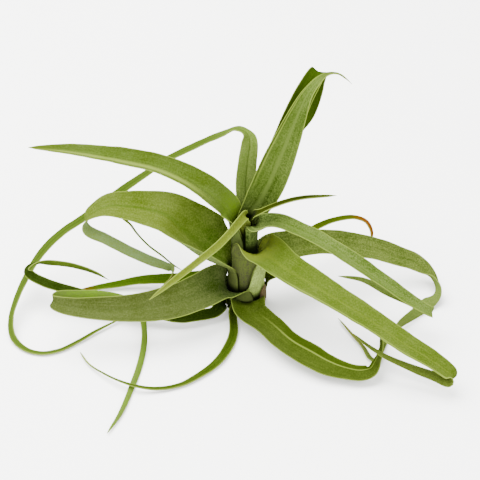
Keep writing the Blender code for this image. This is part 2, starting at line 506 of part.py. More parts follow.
def main():
    clear_scene()
    collection = bpy.data.collections.new("curly_slim_air_plant")
    bpy.context.scene.collection.children.link(collection)
    add_stem(collection)
    add_bract(collection)
    for leaf in LEAVES:
        add_leaf(collection, *leaf)


main()
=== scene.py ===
import math

import bpy
import numpy as np
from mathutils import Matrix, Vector


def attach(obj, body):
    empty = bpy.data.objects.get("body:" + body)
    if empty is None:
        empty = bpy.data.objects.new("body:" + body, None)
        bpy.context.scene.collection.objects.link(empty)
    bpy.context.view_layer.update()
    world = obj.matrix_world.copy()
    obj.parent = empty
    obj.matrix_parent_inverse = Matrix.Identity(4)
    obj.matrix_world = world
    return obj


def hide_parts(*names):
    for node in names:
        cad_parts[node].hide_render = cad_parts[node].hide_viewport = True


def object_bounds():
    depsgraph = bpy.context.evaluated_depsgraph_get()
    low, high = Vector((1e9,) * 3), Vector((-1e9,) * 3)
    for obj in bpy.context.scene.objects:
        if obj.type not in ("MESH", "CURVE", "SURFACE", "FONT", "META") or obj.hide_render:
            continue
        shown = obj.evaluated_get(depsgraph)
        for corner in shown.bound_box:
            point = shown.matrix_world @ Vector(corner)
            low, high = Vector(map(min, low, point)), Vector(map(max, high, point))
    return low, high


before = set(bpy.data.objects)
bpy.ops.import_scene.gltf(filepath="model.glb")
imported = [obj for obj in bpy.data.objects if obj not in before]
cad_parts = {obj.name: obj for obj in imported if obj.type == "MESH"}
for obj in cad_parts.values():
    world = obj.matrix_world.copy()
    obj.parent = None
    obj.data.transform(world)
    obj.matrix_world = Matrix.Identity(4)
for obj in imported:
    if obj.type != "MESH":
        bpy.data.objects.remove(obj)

bl_info = {
    "name": "Curly slim air plant",
    "version": (1, 0, 0),
    "blender": (4, 5, 0),
    "location": "View3D > Sidebar > Air plant",
    "description": "Dresses the packed air plant with fine leaves, a papery bract and a plain stage",
    "category": "Object",
}

MM = 0.001
CAD_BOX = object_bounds()

# Lengths are in millimetres, except on the stage, where they are in metres.

# Line of sight in which the midribs are written and from which the camera looks
SIGHT_ELEVATION = math.radians(35.0)
SIGHT_DISTANCE = 1000.0
SIGHT_CENTRE = (-3.0, 17.2, 24.6)

# Bulb: the leaf bases lie in rings round the stem, each just clear of the next
RING_INNER_RADIUS = 3.6
RING_SPACING = 1.17
SHEATH_FOOT = 1.85
BULB_HEIGHT = 60.0
BULB_TAPER = 0.8
MOUTH_FLARE = 0.45

# Dry bract: it clings to part of its height and ends in a narrow stump, thinner than a living leaf
BRACT_RING = 6
BRACT_AZIMUTH = 332.0
BRACT_HALF_SPAN = 17.0
BRACT_HEIGHT = 13.5
BRACT_CLING = 0.7 * BRACT_HEIGHT
BRACT_END_SHARE = 0.4
BRACT_THINNESS = 0.8
BRACT_SEED = 40

# Outline of a strip: over its last stretch it tapers to a share of its width
TAPER_LENGTH = 4.0
TIP_SHARE = 0.12

# Margins start to waver a little past the mouth and waver fully further on, less where the blade
# is narrow. The left and the right one swing in different lengths.
WAVER_START = 6.0
WAVER_FULL = 26.0
WAVER_WIDTH = 10.0
LEAST_WAVER = 0.15
WAVE_LENGTHS = (23.0, 27.0)
# Size and rate of the swings that make up a wave, the size of their sum and how far they shift
SWINGS = ((1.0, 1.0), (0.6, 1.7), (0.4, 2.9))
SWING_SUM = 2.0
PHASE_RANGE = 6.28

# The midrib groove has its full depth on a blade this wide and this far along it, and spreads over
# a share of half the width. A blade narrower than the full-bodied one is thinner too, down to
# the least share.
GROOVE_WIDTH = 12.0
GROOVE_RUN = 30.0
GROOVE_SPREAD = 0.13
FULL_BODY_WIDTH = 2.4
LEAST_BODY = 0.25

# Skin: a blade this wide has the wanted vein spacing, its veins are this long, and each leaf reads
# its own stretch of the pattern. Patches of thicker bloom are this large.
VEINED_WIDTH = 18.0
VEIN_LENGTH = 30.0
VEIN_SHIFT = 7.3
PATCH_SIZE = 14.0
# Near-black painted shade, for the bulb's hollow and the seams between sheaths
PAINTED_SHADE_BLACK = "#060B00"
# Dark green painted shade for the sheaths where outer leaves hide them
COVER_SHADE_GREEN = "#0C1203"

# Stage, with the width of the camera's sensor in millimetres
FLOOR_REACH = 4.0
FLOOR_GAP = 0.1 * MM
LAMP_SIDE = 1.2
KEY_OFFSET = (-0.4, 0.2, 1.0)
FRONT_OFFSET = (0.3, -1.0, 0.6)
SENSOR_WIDTH = 36.0

# One leaf: its node's name without leaf_, ring, azimuth and half span of its base in degrees, the
# height up to which its margins cling, the height at which its midrib lets go, half angle of the
# mouth in degrees, and its blade points. A blade point is right, up, height and width, half
# angle of the channel in degrees, and where the upper face looks, as right, up and towards the
# viewer. A point that doesn't say the last looks the same way as the one before it.
LEAVES = [
    ("hanging_front", 8, 235, 13, 3.2, 4.4, 13, [
        (-3.6, -38.5, 3.0, 4.6, 30, (0.3, 0.8, 0.6)),
        (-3.3, -46.5, 2.2, 4.8, 30, (0.4, 0.8, 0.6)),
        (-5.4, -52.6, 1.9, 4.8, 30, (0.3, 0.8, 0.6)),
        (-11.1, -60.7, 1.7, 4.4, 30, (0.2, 0.8, 0.7)),
        (-20.6, -67.8, 1.4, 3.6, 30, (0.1, 0.8, 0.7)),
        (-30.0, -72.4, 1.2, 2.9, 25, (0.0, 0.8, 0.6)),
        (-42.0, -74.3, 1.8, 2.5, 20),
        (-52.0, -73.0, 3.2, 2.0, 20),
        (-60.0, -70.5, 3.4, 1.5, 20),
        (-68.0, -66.8, 2.6, 1.2, 20),
        (-75.5, -62.0, 1.6, 1.0, 20),
        (-80.0, -56.0, 1.0, 0.8, 20),
    ]),
    ("low_left_loop", 7, 195, 19, 3.4, 4.2, 19, [
        (-12.0, -35.8, 3.0, 7.0, 35, (0.0, 0.6, 0.8)),
        (-20.0, -37.8, 3.2, 7.2, 35),
        (-30.0, -38.8, 4.2, 7.2, 35),
        (-42.0, -37.0, 6.0, 7.0, 35, (0.0, 0.7, 0.7)),
        (-57.5, -33.0, 8.0, 6.6, 35),
        (-74.0, -28.5, 10.0, 6.0, 30, (0.0, 0.6, 0.8)),
        (-87.0, -24.7, 12.0, 5.6, 30),
        (-97.0, -21.5, 13.5, 5.4, 30, (-0.1, 0.5, 0.8)),
        (-104.0, -18.0, 15.5, 5.0, 30, (-0.4, 0.5, 0.7)),
        (-106.5, -14.8, 18.0, 5.0, 25, (-0.8, 0.5, 0.5)),
        (-103.5, -12.0, 20.0, 4.8, 22, (-0.4, 0.8, 0.2)),
        (-96.0, -11.3, 20.6, 4.2, 20, (-0.1, 0.85, -0.65)),
        (-86.5, -12.3, 20.0, 3.8, 20, (0.1, 0.8, -0.7)),
        (-79.0, -14.0, 18.6, 3.2, 20, (0.2, 0.8, -0.7)),
        (-71.5, -16.7, 16.0, 2.4, 20, (0.3, 0.8, -0.6)),
        (-65.5, -20.0, 13.0, 0.8, 20, (0.3, 0.9, -0.4)),
    ]),
    ("low_back_left", 7, 147, 16, 4.0, 6.0, 16, [
        (-14.0, -18.0, 9.5, 6.8, 35, (0.1, 0.6, 0.8)),
        (-22.0, -18.3, 9.0, 6.8, 35, (0.0, 0.6, 0.8)),
        (-31.0, -19.2, 7.4, 6.7, 35),
        (-41.0, -19.6, 5.4, 6.4, 35),
        (-51.0, -20.3, 4.0, 5.4, 30),
        (-62.0, -22.2, 2.6, 4.2, 25),
        (-73.0, -24.0, 1.8, 3.0, 20),
        (-82.5, -25.8, 1.3, 1.2, 20),
    ]),
    ("arched_back_right", 6, 8, 14, 8.0, 9.5, 14, [
        (16.5, -16.6, 13.0, 8.6, 34, (-0.1, 0.75, 0.65)),
        (24.0, -9.6, 17.0, 7.4, 32, (-0.3, 0.8, 0.5)),
        (32.5, 2.6, 23.0, 5.0, 30, (-0.3, 0.8, 0.6)),
        (42.0, 8.2, 24.0, 4.4, 25, (-0.1, 0.8, 0.65)),
        (50.0, 10.7, 23.2, 4.0, 25, (0.0, 0.8, 0.65)),
        (57.0, 11.4, 21.5, 3.6, 20, (0.2, 0.8, 0.6)),
        (63.0, 9.3, 18.8, 3.2, 20, (0.5, 0.65, 0.6)),
        (65.6, 5.0, 15.5, 2.6, 20, (0.7, 0.2, 0.7)),
        (65.8, 1.5, 13.0, 1.8, 20, (0.7, 0.0, 0.7)),
        (64.0, -2.0, 11.0, 0.8, 20, (0.9, 0.0, 0.0)),
    ]),
    ("low_front_right", 7, 271, 50, 5.0, 7.0, 47, [
        (4.5, -35.3, 8.8, 18.8, 46, (0.15, 0.74, 0.65)),
        (14.4, -43.6, 8.8, 16.8, 42, (0.22, 0.66, 0.72)),
        (24.5, -52.2, 8.0, 15.2, 38, (0.2, 0.6, 0.78)),
        (34.4, -58.0, 7.2, 14.6, 38, (0.14, 0.55, 0.82)),
        (43.6, -62.8, 6.4, 12.4, 38, (0.06, 0.5, 0.86)),
        (52.3, -65.6, 5.6, 9.6, 36, (-0.05, 0.48, 0.88)),
        (60.2, -66.8, 5.2, 8.6, 34, (-0.2, 0.45, 0.87)),
        (65.6, -65.4, 5.4, 7.8, 32, (-0.5, 0.35, 0.8)),
        (68.5, -60.8, 5.8, 5.8, 30, (-0.6, 0.2, 0.75)),
        (70.3, -56.0, 5.8, 4.2, 28, (-0.6, 0.0, 0.75)),
        (70.9, -52.0, 5.4, 3.2, 25),
        (70.2, -48.0, 4.8, 1.8, 20),
    ]),
    ("broad_left", 6, 222, 72, 6.5, 9.0, 61, [
        (-8.9, -21.5, 18.1, 21.8, 53, (0.5, 0.45, 0.69)),
        (-19.5, -25.9, 20.4, 20.0, 44, (0.15, 0.35, 0.9)),
        (-29.5, -30.0, 20.0, 18.5, 38, (0.1, 0.35, 0.93)),
        (-40.0, -32.6, 20.0, 17.2, 36, (0.1, 0.3, 0.94)),
        (-50.0, -34.0, 20.8, 15.6, 36, (0.05, 0.3, 0.94)),
        (-61.0, -34.6, 21.6, 13.8, 38, (0.0, 0.3, 0.94)),
        (-74.0, -34.4, 22.4, 12.0, 40),
        (-84.5, -33.5, 23.0, 9.8, 40, (-0.1, 0.3, 0.94)),
        (-91.0, -32.0, 23.2, 8.0, 38, (-0.4, 0.3, 0.85)),
        (-93.8, -30.0, 23.0, 6.2, 32, (-0.95, 0.2, 0.1)),
        (-90.5, -28.0, 22.5, 5.4, 28, (-0.4, 0.2, -0.9)),
        (-82.0, -27.2, 21.2, 4.4, 26, (0.0, 0.1, -1.0)),
        (-70.0, -27.4, 19.6, 4.2, 26, (0.0, 0.0, -1.0)),
        (-60.0, -29.0, 16.8, 4.0, 26, (-0.1, -0.2, -1.0)),
        (-52.5, -32.5, 12.8, 4.0, 26, (-0.4, -0.3, -0.9)),
        (-48.8, -38.5, 8.8, 3.8, 26, (-0.6, -0.2, -0.8)),
        (-47.8, -45.0, 5.2, 3.6, 26, (-0.6, 0.0, -0.8)),
        (-48.0, -52.5, 2.6, 3.4, 24, (-0.5, -0.2, -0.8)),
        (-50.0, -62.0, 1.4, 3.2, 20, (-0.4, -0.5, -0.75)),
        (-54.5, -74.5, 1.2, 2.8, 20, (-0.2, -0.7, -0.65)),
        (-60.0, -87.0, 1.2, 2.2, 20, (-0.1, -0.75, -0.6)),
        (-66.5, -96.8, 1.1, 0.8, 20),
    ]),
    ("broad_right_back", 5, 4, 96, 13.0, 17.8, 70, [
        (17.6, -5.6, 26.0, 24.0, 52, (-0.35, 0.5, 0.8)),
        (25.5, -2.9, 26.2, 18.0, 42, (-0.3, 0.45, 0.85)),
        (38.0, -1.2, 27.6, 14.6, 36, (-0.05, 0.4, 0.9)),
        (51.0, -1.8, 25.6, 14.0, 34, (0.1, 0.4, 0.9)),
        (65.0, -4.0, 21.0, 13.0, 32, (0.15, 0.4, 0.9)),
        (77.0, -7.5, 16.0, 12.0, 32, (0.2, 0.4, 0.9)),
        (88.0, -11.5, 10.6, 10.4, 32, (0.35, 0.4, 0.85)),
        (94.2, -16.2, 6.6, 8.8, 30, (0.65, 0.3, 0.7)),
        (98.0, -21.3, 4.6, 8.2, 28, (0.9, 0.1, 0.35)),
        (98.3, -26.2, 3.8, 7.8, 26, (0.75, 0.0, -0.6)),
        (94.5, -31.0, 3.2, 7.0, 26, (0.35, 0.1, -0.9)),
        (88.0, -36.3, 3.2, 5.8, 24, (0.2, 0.3, -0.9)),
        (80.5, -41.8, 2.9, 4.4, 22, (0.2, 0.5, -0.8)),
        (74.0, -48.0, 1.8, 3.2, 20, (0.3, 0.8, -0.2)),
        (70.6, -55.0, 1.4, 2.8, 20, (0.2, 0.9, 0.2)),
        (67.8, -60.2, 1.3, 2.8, 20, (0.0, 0.9, 0.3)),
        (65.3, -59.2, 1.3, 2.7, 20, (0.1, 0.9, 0.4)),
        (61.6, -53.4, 1.4, 2.4, 20, (0.3, 0.8, 0.4)),
        (56.1, -47.2, 1.5, 1.8, 20),
        (49.0, -39.0, 1.5, 0.8, 20),
    ]),
    ("back_slim", 6, 121, 24, 12.0, 17.0, 24, [
        (-9.0, -5.0, 22.0, 7.0, 35, (0.2, 0.7, 0.6)),
        (-15.0, 0.6, 29.0, 6.6, 35, (0.1, 0.7, 0.7)),
        (-28.0, 9.0, 37.0, 5.6, 30, (0.0, 0.7, 0.7)),
        (-42.0, 14.5, 41.0, 4.6, 25),
        (-54.0, 15.5, 40.0, 3.4, 20, (-0.1, 0.7, 0.7)),
        (-60.0, 13.6, 36.5, 2.4, 20, (-0.7, 0.5, 0.5)),
        (-58.5, 11.0, 33.8, 1.9, 20, (-0.9, 0.0, -0.3)),
        (-55.0, 8.0, 31.0, 1.6, 20, (-0.6, -0.5, -0.6)),
        (-51.5, 3.3, 27.0, 1.4, 20),
        (-45.8, -2.7, 21.0, 1.3, 20),
        (-39.0, -7.8, 15.4, 1.2, 20, (-0.5, -0.5, -0.7)),
        (-33.5, -12.3, 10.8, 1.0, 20),
        (-29.0, -15.2, 8.0, 0.8, 20),
    ]),
    ("curl_left", 5, 177, 71, 12.0, 22.0, 64, [
        (-15.8, -0.5, 37.2, 38.5, 86, (0.5, 0.48, 0.7)),
        (-26.4, 7.2, 45.0, 34.0, 72, (0.32, 0.48, 0.82)),
        (-36.4, 13.2, 50.6, 24.4, 46, (0.1, 0.38, 0.92)),
        (-47.0, 15.8, 52.0, 18.6, 32, (0.0, 0.28, 0.95)),
        (-57.0, 17.2, 51.6, 15.6, 34, (-0.05, 0.28, 0.95)),
        (-65.5, 17.4, 49.8, 12.6, 36, (-0.2, 0.3, 0.92)),
        (-71.5, 15.2, 46.0, 10.4, 34, (-0.6, 0.35, 0.7)),
        (-76.9, 10.8, 40.8, 9.0, 30, (-0.95, 0.1, 0.2)),
        (-76.4, 5.4, 35.2, 8.4, 28, (-0.75, -0.35, -0.5)),
        (-67.0, 0.8, 30.2, 7.4, 28, (-0.4, -0.55, -0.7)),
        (-57.0, -4.6, 24.4, 6.8, 28, (-0.3, -0.55, -0.75)),
        (-46.0, -9.6, 19.2, 6.4, 28),
        (-37.3, -12.8, 15.8, 5.6, 26, (-0.2, -0.6, -0.7)),
        (-33.6, -14.9, 13.8, 3.4, 20, (0.8, -0.4, -0.4)),
        (-34.0, -18.0, 11.8, 2.0, 20, (0.9, -0.2, 0.3)),
        (-37.3, -21.8, 9.4, 1.4, 20, (0.6, -0.5, 0.6)),
        (-40.5, -24.6, 7.6, 0.8, 20),
    ]),
    ("broad_right_front", 4, 301, 96, 30.0, 33.0, 80, [
        (13.3, -6.5, 39.4, 22.4, 55, (-0.15, 0.62, 0.77)),
        (21.5, -12.8, 38.8, 18.6, 38, (0.1, 0.5, 0.85)),
        (32.0, -19.3, 37.2, 16.6, 34, (0.2, 0.4, 0.9)),
        (45.0, -27.2, 34.4, 14.2, 32, (0.22, 0.37, 0.9)),
        (58.0, -35.2, 30.6, 12.8, 32),
        (70.0, -43.0, 26.4, 12.0, 32),
        (82.0, -51.4, 21.8, 11.6, 34, (0.25, 0.35, 0.9)),
        (94.0, -58.7, 17.0, 10.6, 36, (0.28, 0.33, 0.9)),
        (102.5, -64.7, 12.8, 9.4, 36, (0.4, 0.3, 0.87)),
        (106.4, -68.6, 9.8, 8.2, 30, (0.85, -0.3, 0.4)),
        (104.6, -70.6, 7.8, 6.4, 26, (0.5, -0.5, -0.7)),
        (97.5, -68.2, 7.2, 5.0, 24, (0.0, -0.3, -0.95)),
        (89.5, -65.4, 7.6, 4.2, 24, (-0.1, -0.25, -0.95)),
        (80.5, -61.8, 9.2, 3.2, 22),
        (72.0, -57.9, 10.6, 2.4, 20),
        (64.0, -52.8, 11.6, 1.7, 20),
        (56.5, -46.8, 11.8, 0.8, 20),
    ]),
    ("long_upper_left", 3, 188, 72, 40.0, 44.0, 57, [
        (-6.0, 16.0, 54.6, 16.2, 52, (0.5, 0.3, 0.8)),
        (-11.9, 21.8, 61.0, 15.8, 46, (0.35, 0.4, 0.85)),
        (-20.2, 28.3, 67.0, 14.4, 42, (0.2, 0.42, 0.88)),
        (-31.0, 34.1, 71.2, 12.4, 42, (0.12, 0.42, 0.9)),
        (-43.5, 38.6, 73.6, 11.4, 42, (0.1, 0.4, 0.9)),
        (-56.0, 41.2, 73.8, 10.6, 42, (0.05, 0.4, 0.9)),
        (-69.0, 43.3, 72.2, 9.0, 42, (0.0, 0.4, 0.9)),
        (-82.0, 45.0, 69.6, 7.0, 40),
        (-94.5, 46.0, 66.8, 4.2, 30),
        (-106.0, 46.3, 64.0, 0.8, 20),
    ]),
    ("long_loop", 3, 78, 26, 36.0, 42.0, 26, [
        (3.2, 18.0, 51.4, 9.4, 28, (0.0, -0.2, 0.98)),
        (2.8, 28.5, 61.4, 10.0, 24),
        (3.8, 39.5, 73.0, 9.4, 24, (0.0, -0.15, 0.98)),
        (4.8, 48.5, 82.2, 8.4, 26, (-0.1, 0.1, 0.98)),
        (3.8, 53.0, 85.6, 6.4, 28, (0.2, 0.75, 0.6)),
        (-1.5, 55.6, 85.6, 6.0, 26, (0.0, 0.85, 0.5)),
        (-8.0, 53.2, 80.6, 5.4, 24, (-0.25, 0.7, 0.65)),
        (-20.0, 48.2, 70.2, 5.0, 22, (-0.3, 0.6, 0.75)),
        (-36.8, 40.0, 57.6, 4.6, 22, (-0.35, 0.6, 0.75)),
        (-46.8, 33.2, 48.3, 4.8, 22, (-0.4, 0.55, 0.75)),
        (-58.0, 25.6, 40.3, 5.2, 22, (-0.4, 0.5, 0.8)),
        (-68.5, 18.1, 34.5, 5.2, 22, (-0.45, 0.5, 0.8)),
        (-78.5, 10.8, 29.9, 5.2, 22),
        (-87.0, 5.2, 26.5, 5.0, 22, (-0.45, 0.45, 0.85)),
        (-94.8, -1.4, 21.9, 4.8, 22, (-0.5, 0.35, 0.9)),
        (-101.5, -9.5, 15.6, 4.6, 22, (-0.5, 0.3, 0.9)),
        (-107.0, -19.0, 11.0, 4.2, 22, (-0.5, 0.2, 0.9)),
        (-111.5, -29.0, 7.6, 3.8, 22),
        (-114.5, -39.5, 4.8, 3.4, 22, (-0.5, 0.4, 0.7)),
        (-113.3, -48.8, 2.4, 3.2, 22, (-0.4, 0.7, 0.5)),
        (-107.0, -54.7, 1.2, 2.9, 20, (-0.2, 0.8, 0.5)),
        (-99.0, -56.6, 1.0, 2.8, 20, (0.0, 0.8, 0.55)),
        (-90.5, -55.2, 1.0, 2.6, 20),
        (-81.5, -51.0, 1.1, 2.3, 20),
        (-71.0, -45.0, 1.4, 1.9, 20),
        (-59.0, -39.0, 1.6, 0.8, 20),
    ]),
    ("tall_back", 2, 64, 55, 40.0, 46.0, 50, [
        (12.8, 26.0, 62.0, 15.0, 48, (-0.15, 0.0, 0.98)),
        (18.8, 40.0, 78.5, 13.8, 42),
        (25.0, 56.0, 94.5, 12.4, 40, (-0.15, 0.05, 0.98)),
        (31.2, 70.4, 108.2, 11.2, 40, (-0.15, 0.1, 0.98)),
        (36.3, 79.8, 116.0, 10.0, 38, (0.0, 0.4, 0.9)),
        (39.3, 84.6, 117.6, 8.2, 32, (0.3, 0.9, 0.2)),
        (39.7, 80.0, 109.4, 7.0, 28, (0.8, 0.4, -0.6)),
        (37.8, 71.0, 98.0, 6.0, 24, (0.5, 0.1, -0.85)),
        (35.0, 62.5, 87.4, 4.4, 22, (0.4, 0.1, -0.9)),
        (31.5, 54.5, 79.0, 0.8, 20, (0.5, 0.2, -0.85)),
    ]),
    ("right_upper", 2, 312, 50, 44.0, 48.0, 49, [
        (9.2, 7.8, 51.0, 11.4, 58, (-0.75, 0.45, 0.5)),
        (14.0, 9.2, 53.2, 11.6, 54, (-0.4, 0.7, 0.6)),
        (20.4, 8.8, 53.2, 11.0, 48, (0.0, 0.7, 0.7)),
        (28.0, 5.8, 52.0, 10.2, 48, (0.15, 0.6, 0.75)),
        (38.0, 1.2, 49.2, 9.4, 48, (0.2, 0.55, 0.8)),
        (50.0, -6.0, 44.0, 9.4, 48, (0.22, 0.5, 0.82)),
        (62.0, -13.8, 37.6, 9.2, 48, (0.25, 0.5, 0.82)),
        (74.0, -22.2, 31.0, 8.4, 46),
        (84.0, -29.2, 25.4, 7.4, 42, (0.3, 0.45, 0.82)),
        (92.5, -34.4, 20.6, 6.4, 36, (0.45, 0.4, 0.8)),
        (96.2, -36.2, 17.8, 5.2, 28, (0.9, -0.1, 0.4)),
        (93.4, -35.2, 16.0, 4.6, 26, (0.3, -0.4, -0.85)),
        (85.0, -31.0, 17.4, 4.2, 24, (-0.1, -0.3, -0.95)),
        (73.0, -25.6, 21.4, 4.0, 24, (-0.2, -0.3, -0.93)),
        (61.5, -20.0, 26.0, 2.6, 22),
        (49.0, -18.0, 28.0, 0.8, 20),
    ]),
    ("tall_front", 1, 84, 76, 40.0, 46.0, 70, [
        (9.4, 19.0, 57.0, 16.4, 62, (-0.1, -0.15, 0.98)),
        (14.1, 27.5, 67.5, 17.8, 52, (-0.1, -0.1, 0.98)),
        (19.5, 40.0, 82.0, 16.6, 44),
        (24.1, 51.0, 93.3, 13.8, 42, (-0.1, -0.05, 0.98)),
        (28.8, 62.5, 104.5, 10.2, 42, (-0.1, 0.0, 0.98)),
        (33.5, 72.5, 113.6, 6.6, 38, (-0.1, 0.3, 0.95)),
        (39.0, 79.5, 119.4, 4.6, 30, (-0.1, 0.6, 0.8)),
        (44.0, 83.0, 122.0, 3.6, 24, (0.0, 0.9, 0.4)),
        (49.0, 83.3, 121.4, 2.8, 20, (0.2, 0.9, 0.2)),
        (53.0, 80.8, 118.2, 1.8, 20, (0.6, 0.7, 0.1)),
        (56.0, 78.0, 114.8, 0.8, 20),
    ]),
    ("young_left", 0, 243, 57, 41.5, 47.5, 57, [
        (2.8, 12.4, 55.0, 6.0, 72, (0.6, 0.3, 0.7)),
        (-4.5, 4.0, 48.4, 4.2, 45, (0.3, 0.2, 0.93)),
        (-11.0, -2.8, 44.2, 4.0, 42, (0.3, 0.3, 0.9)),
        (-22.0, -11.6, 40.0, 3.6, 40),
        (-33.5, -20.5, 34.8, 3.0, 35),
        (-45.5, -30.0, 29.0, 0.8, 20),
    ]),
    ("young_right", 0, 352, 40, 44.0, 51.0, 40, [
        (10.0, 14.0, 58.0, 3.8, 55, (-0.7, 0.4, 0.6)),
        (17.5, 17.4, 61.0, 3.4, 50, (-0.3, 0.6, 0.7)),
        (25.5, 20.0, 62.4, 3.0, 45, (-0.1, 0.6, 0.7)),
        (34.0, 21.5, 62.4, 2.6, 40, (0.0, 0.6, 0.7)),
        (42.5, 22.0, 61.0, 1.8, 30),
        (48.3, 22.3, 59.6, 0.8, 20),
    ]),
]

# Tones of one leaf: the face, its deep colour near the base and in the channel, for most leaves a
# darker green painted as shade there, its light colour where the bloom lies thick, also used for
# painted highlights, the tip, the underside, and the sheath below the mouth
TONES = {
    "hanging_front": ("#1C2C01", "#050D00", "#354211", "#7E8847", "#1C2A02", "#1E2905"),
    "low_left_loop": ("#0E1901", "#081301", "#202C0B", "#4D3918", "#3C4C10", "#1E2905"),
    "low_back_left": ("#243902", "#0E1E00", "#364909", "#46290D", "#1F3103", "#182104"),
    "arched_back_right": ("#202C01", "#121D00", "#313B02", "#592C07", "#1F2901", "#1E2905"),
    "low_front_right": ("#222E05", "#1F2D00", "#394416", "#202A04", "#2F3C0F", "#3F4725"),
    "broad_left": ("#273009", "#142700", "#3E4623", "#3C421B", "#46600E", "#455023"),
    "broad_right_back": ("#283708", "#1A2901", "#525D2A", "#575125", "#3D4D1D", "#8A9E51"),
    "back_slim": ("#283706", "#122001", "#3E4B17", "#393512", "#283409", "#1E2905"),
    "curl_left": ("#364209", "#223B00", "#4E5A24", "#423415", "#556840", "#434A28"),
    "broad_right_front": ("#2D3D04", "#626D17", "#46521E", "#2D2C2E", "#2D370E", "#353525"),
    "long_upper_left": ("#253105", "#49620B", "#3F4D1E", "#35400E", "#222E05", "#3B4222"),
    "long_loop": ("#3A4D15", "#1F2F02", "#586530", "#2E3E0C", "#333D16", "#25340F"),
    "tall_back": ("#1A2902", "#182701", "#263507", "#312E0A", "#192602", "#1D2E09"),
    "right_upper": ("#33450E", "#132601", "#52602D", "#3E3F18", "#313F0D", "#0C1F02"),
    "tall_front": ("#283908", "#152500", "#475524", "#333C12", "#273106", "#1D2E09"),
    "young_left": ("#3F4A0B", "#2E3907", "#515B1F", "#4E571C", "#3D4715", "#353E0F"),
    "young_right": ("#151C01", "#060E00", "#293108", "#2C340B", "#192302", "#1D2E09"),
}

# What else a leaf's skin shows, where it differs from a plain one
# cover: how much of its sheath the mouths of the leaves outside it hide; up to there its outer
#        face is painted dark green as their shade, but not behind the stem
# black: how far past the mouth its upper face stays painted black, as painted shade of the bulb's hollow
# deep: how far past the mouth its deep colour reaches, painted as shade near the bulb
# groove: how much of the deep colour lies in the midrib groove, painted as shade in the groove
# keel: how pale the line beside the midrib is, a painted highlight where the ridge catches light
# half: how much deeper one half is painted than the other, as painted shade on one side of the
#       channel, the right one as seen from the stem for a share above zero and the left one for a
#       share below it
# crease: place of a pale band across the blade, from -1 to 1, with the band's half width; the
#         band is a painted highlight along a fold
# wing: how much lighter the skin beyond the crease is painted, as painted light, or deeper for a
#       number below zero, as painted shade
# tip: share of the leaf's length at which the tip colour starts
PLAIN_LOOK = dict(cover=-5.0, keel=0.0, half=0.0, crease=None, wing=0.0, tip=0.84)
LOOKS = {
    "hanging_front": dict(cover=3.0, black=3.0, deep=20.0, groove=0.25),
    "low_left_loop": dict(black=3.0, deep=20.0, groove=0.2),
    "low_back_left": dict(black=2.0, deep=20.0, groove=0.2),
    "arched_back_right": dict(black=2.0, deep=20.0, groove=0.15, tip=0.74),
    "low_front_right": dict(black=4.0, deep=40.0, groove=0.12, keel=0.15, half=-0.2,
                            crease=(-0.45, 0.09), wing=-0.5),
    "broad_left": dict(cover=1.0, black=3.0, deep=45.0, groove=0.12),
    "broad_right_back": dict(cover=5.0, black=1.0, deep=25.0, groove=0.1, half=-0.3),
    "back_slim": dict(black=1.0, deep=20.0, groove=0.1),
    "curl_left": dict(cover=9.0, black=2.0, deep=42.0, groove=0.4, half=0.25),
    "broad_right_front": dict(cover=9.0, black=5.0, deep=16.0, groove=0.1, keel=0.1,
                              crease=(0.86, 0.09), wing=0.1, tip=0.9),
    "long_upper_left": dict(cover=31.0, black=3.0, deep=22.0, groove=0.12, keel=0.15, half=0.1,
                            crease=(-0.55, 0.36), tip=0.86),
    "long_loop": dict(cover=30.0, black=3.0, deep=26.0, groove=0.55, tip=0.22),
    "tall_back": dict(cover=28.0, black=4.0, deep=26.0, groove=0.2),
    "right_upper": dict(cover=33.0, black=4.0, deep=22.0, groove=0.12, keel=0.35, half=-0.35),
    "tall_front": dict(cover=27.0, black=6.0, deep=30.0, groove=0.0, keel=0.75, half=0.6,
                       crease=(-0.8, 0.09), wing=-0.6),
    "young_left": dict(cover=40.0, black=2.0, deep=10.0, groove=0.1),
    "young_right": dict(cover=30.0, black=4.0, deep=12.0, groove=0.3, keel=0.4),
}


def srgb(code):
    """Linear colour of an sRGB hex value."""
    values = [int(code[start:start + 2], 16) / 255.0 for start in (1, 3, 5)]
    return tuple(v / 12.92 if v <= 0.04045 else ((v + 0.055) / 1.055) ** 2.4 for v in values) + (1.0,)


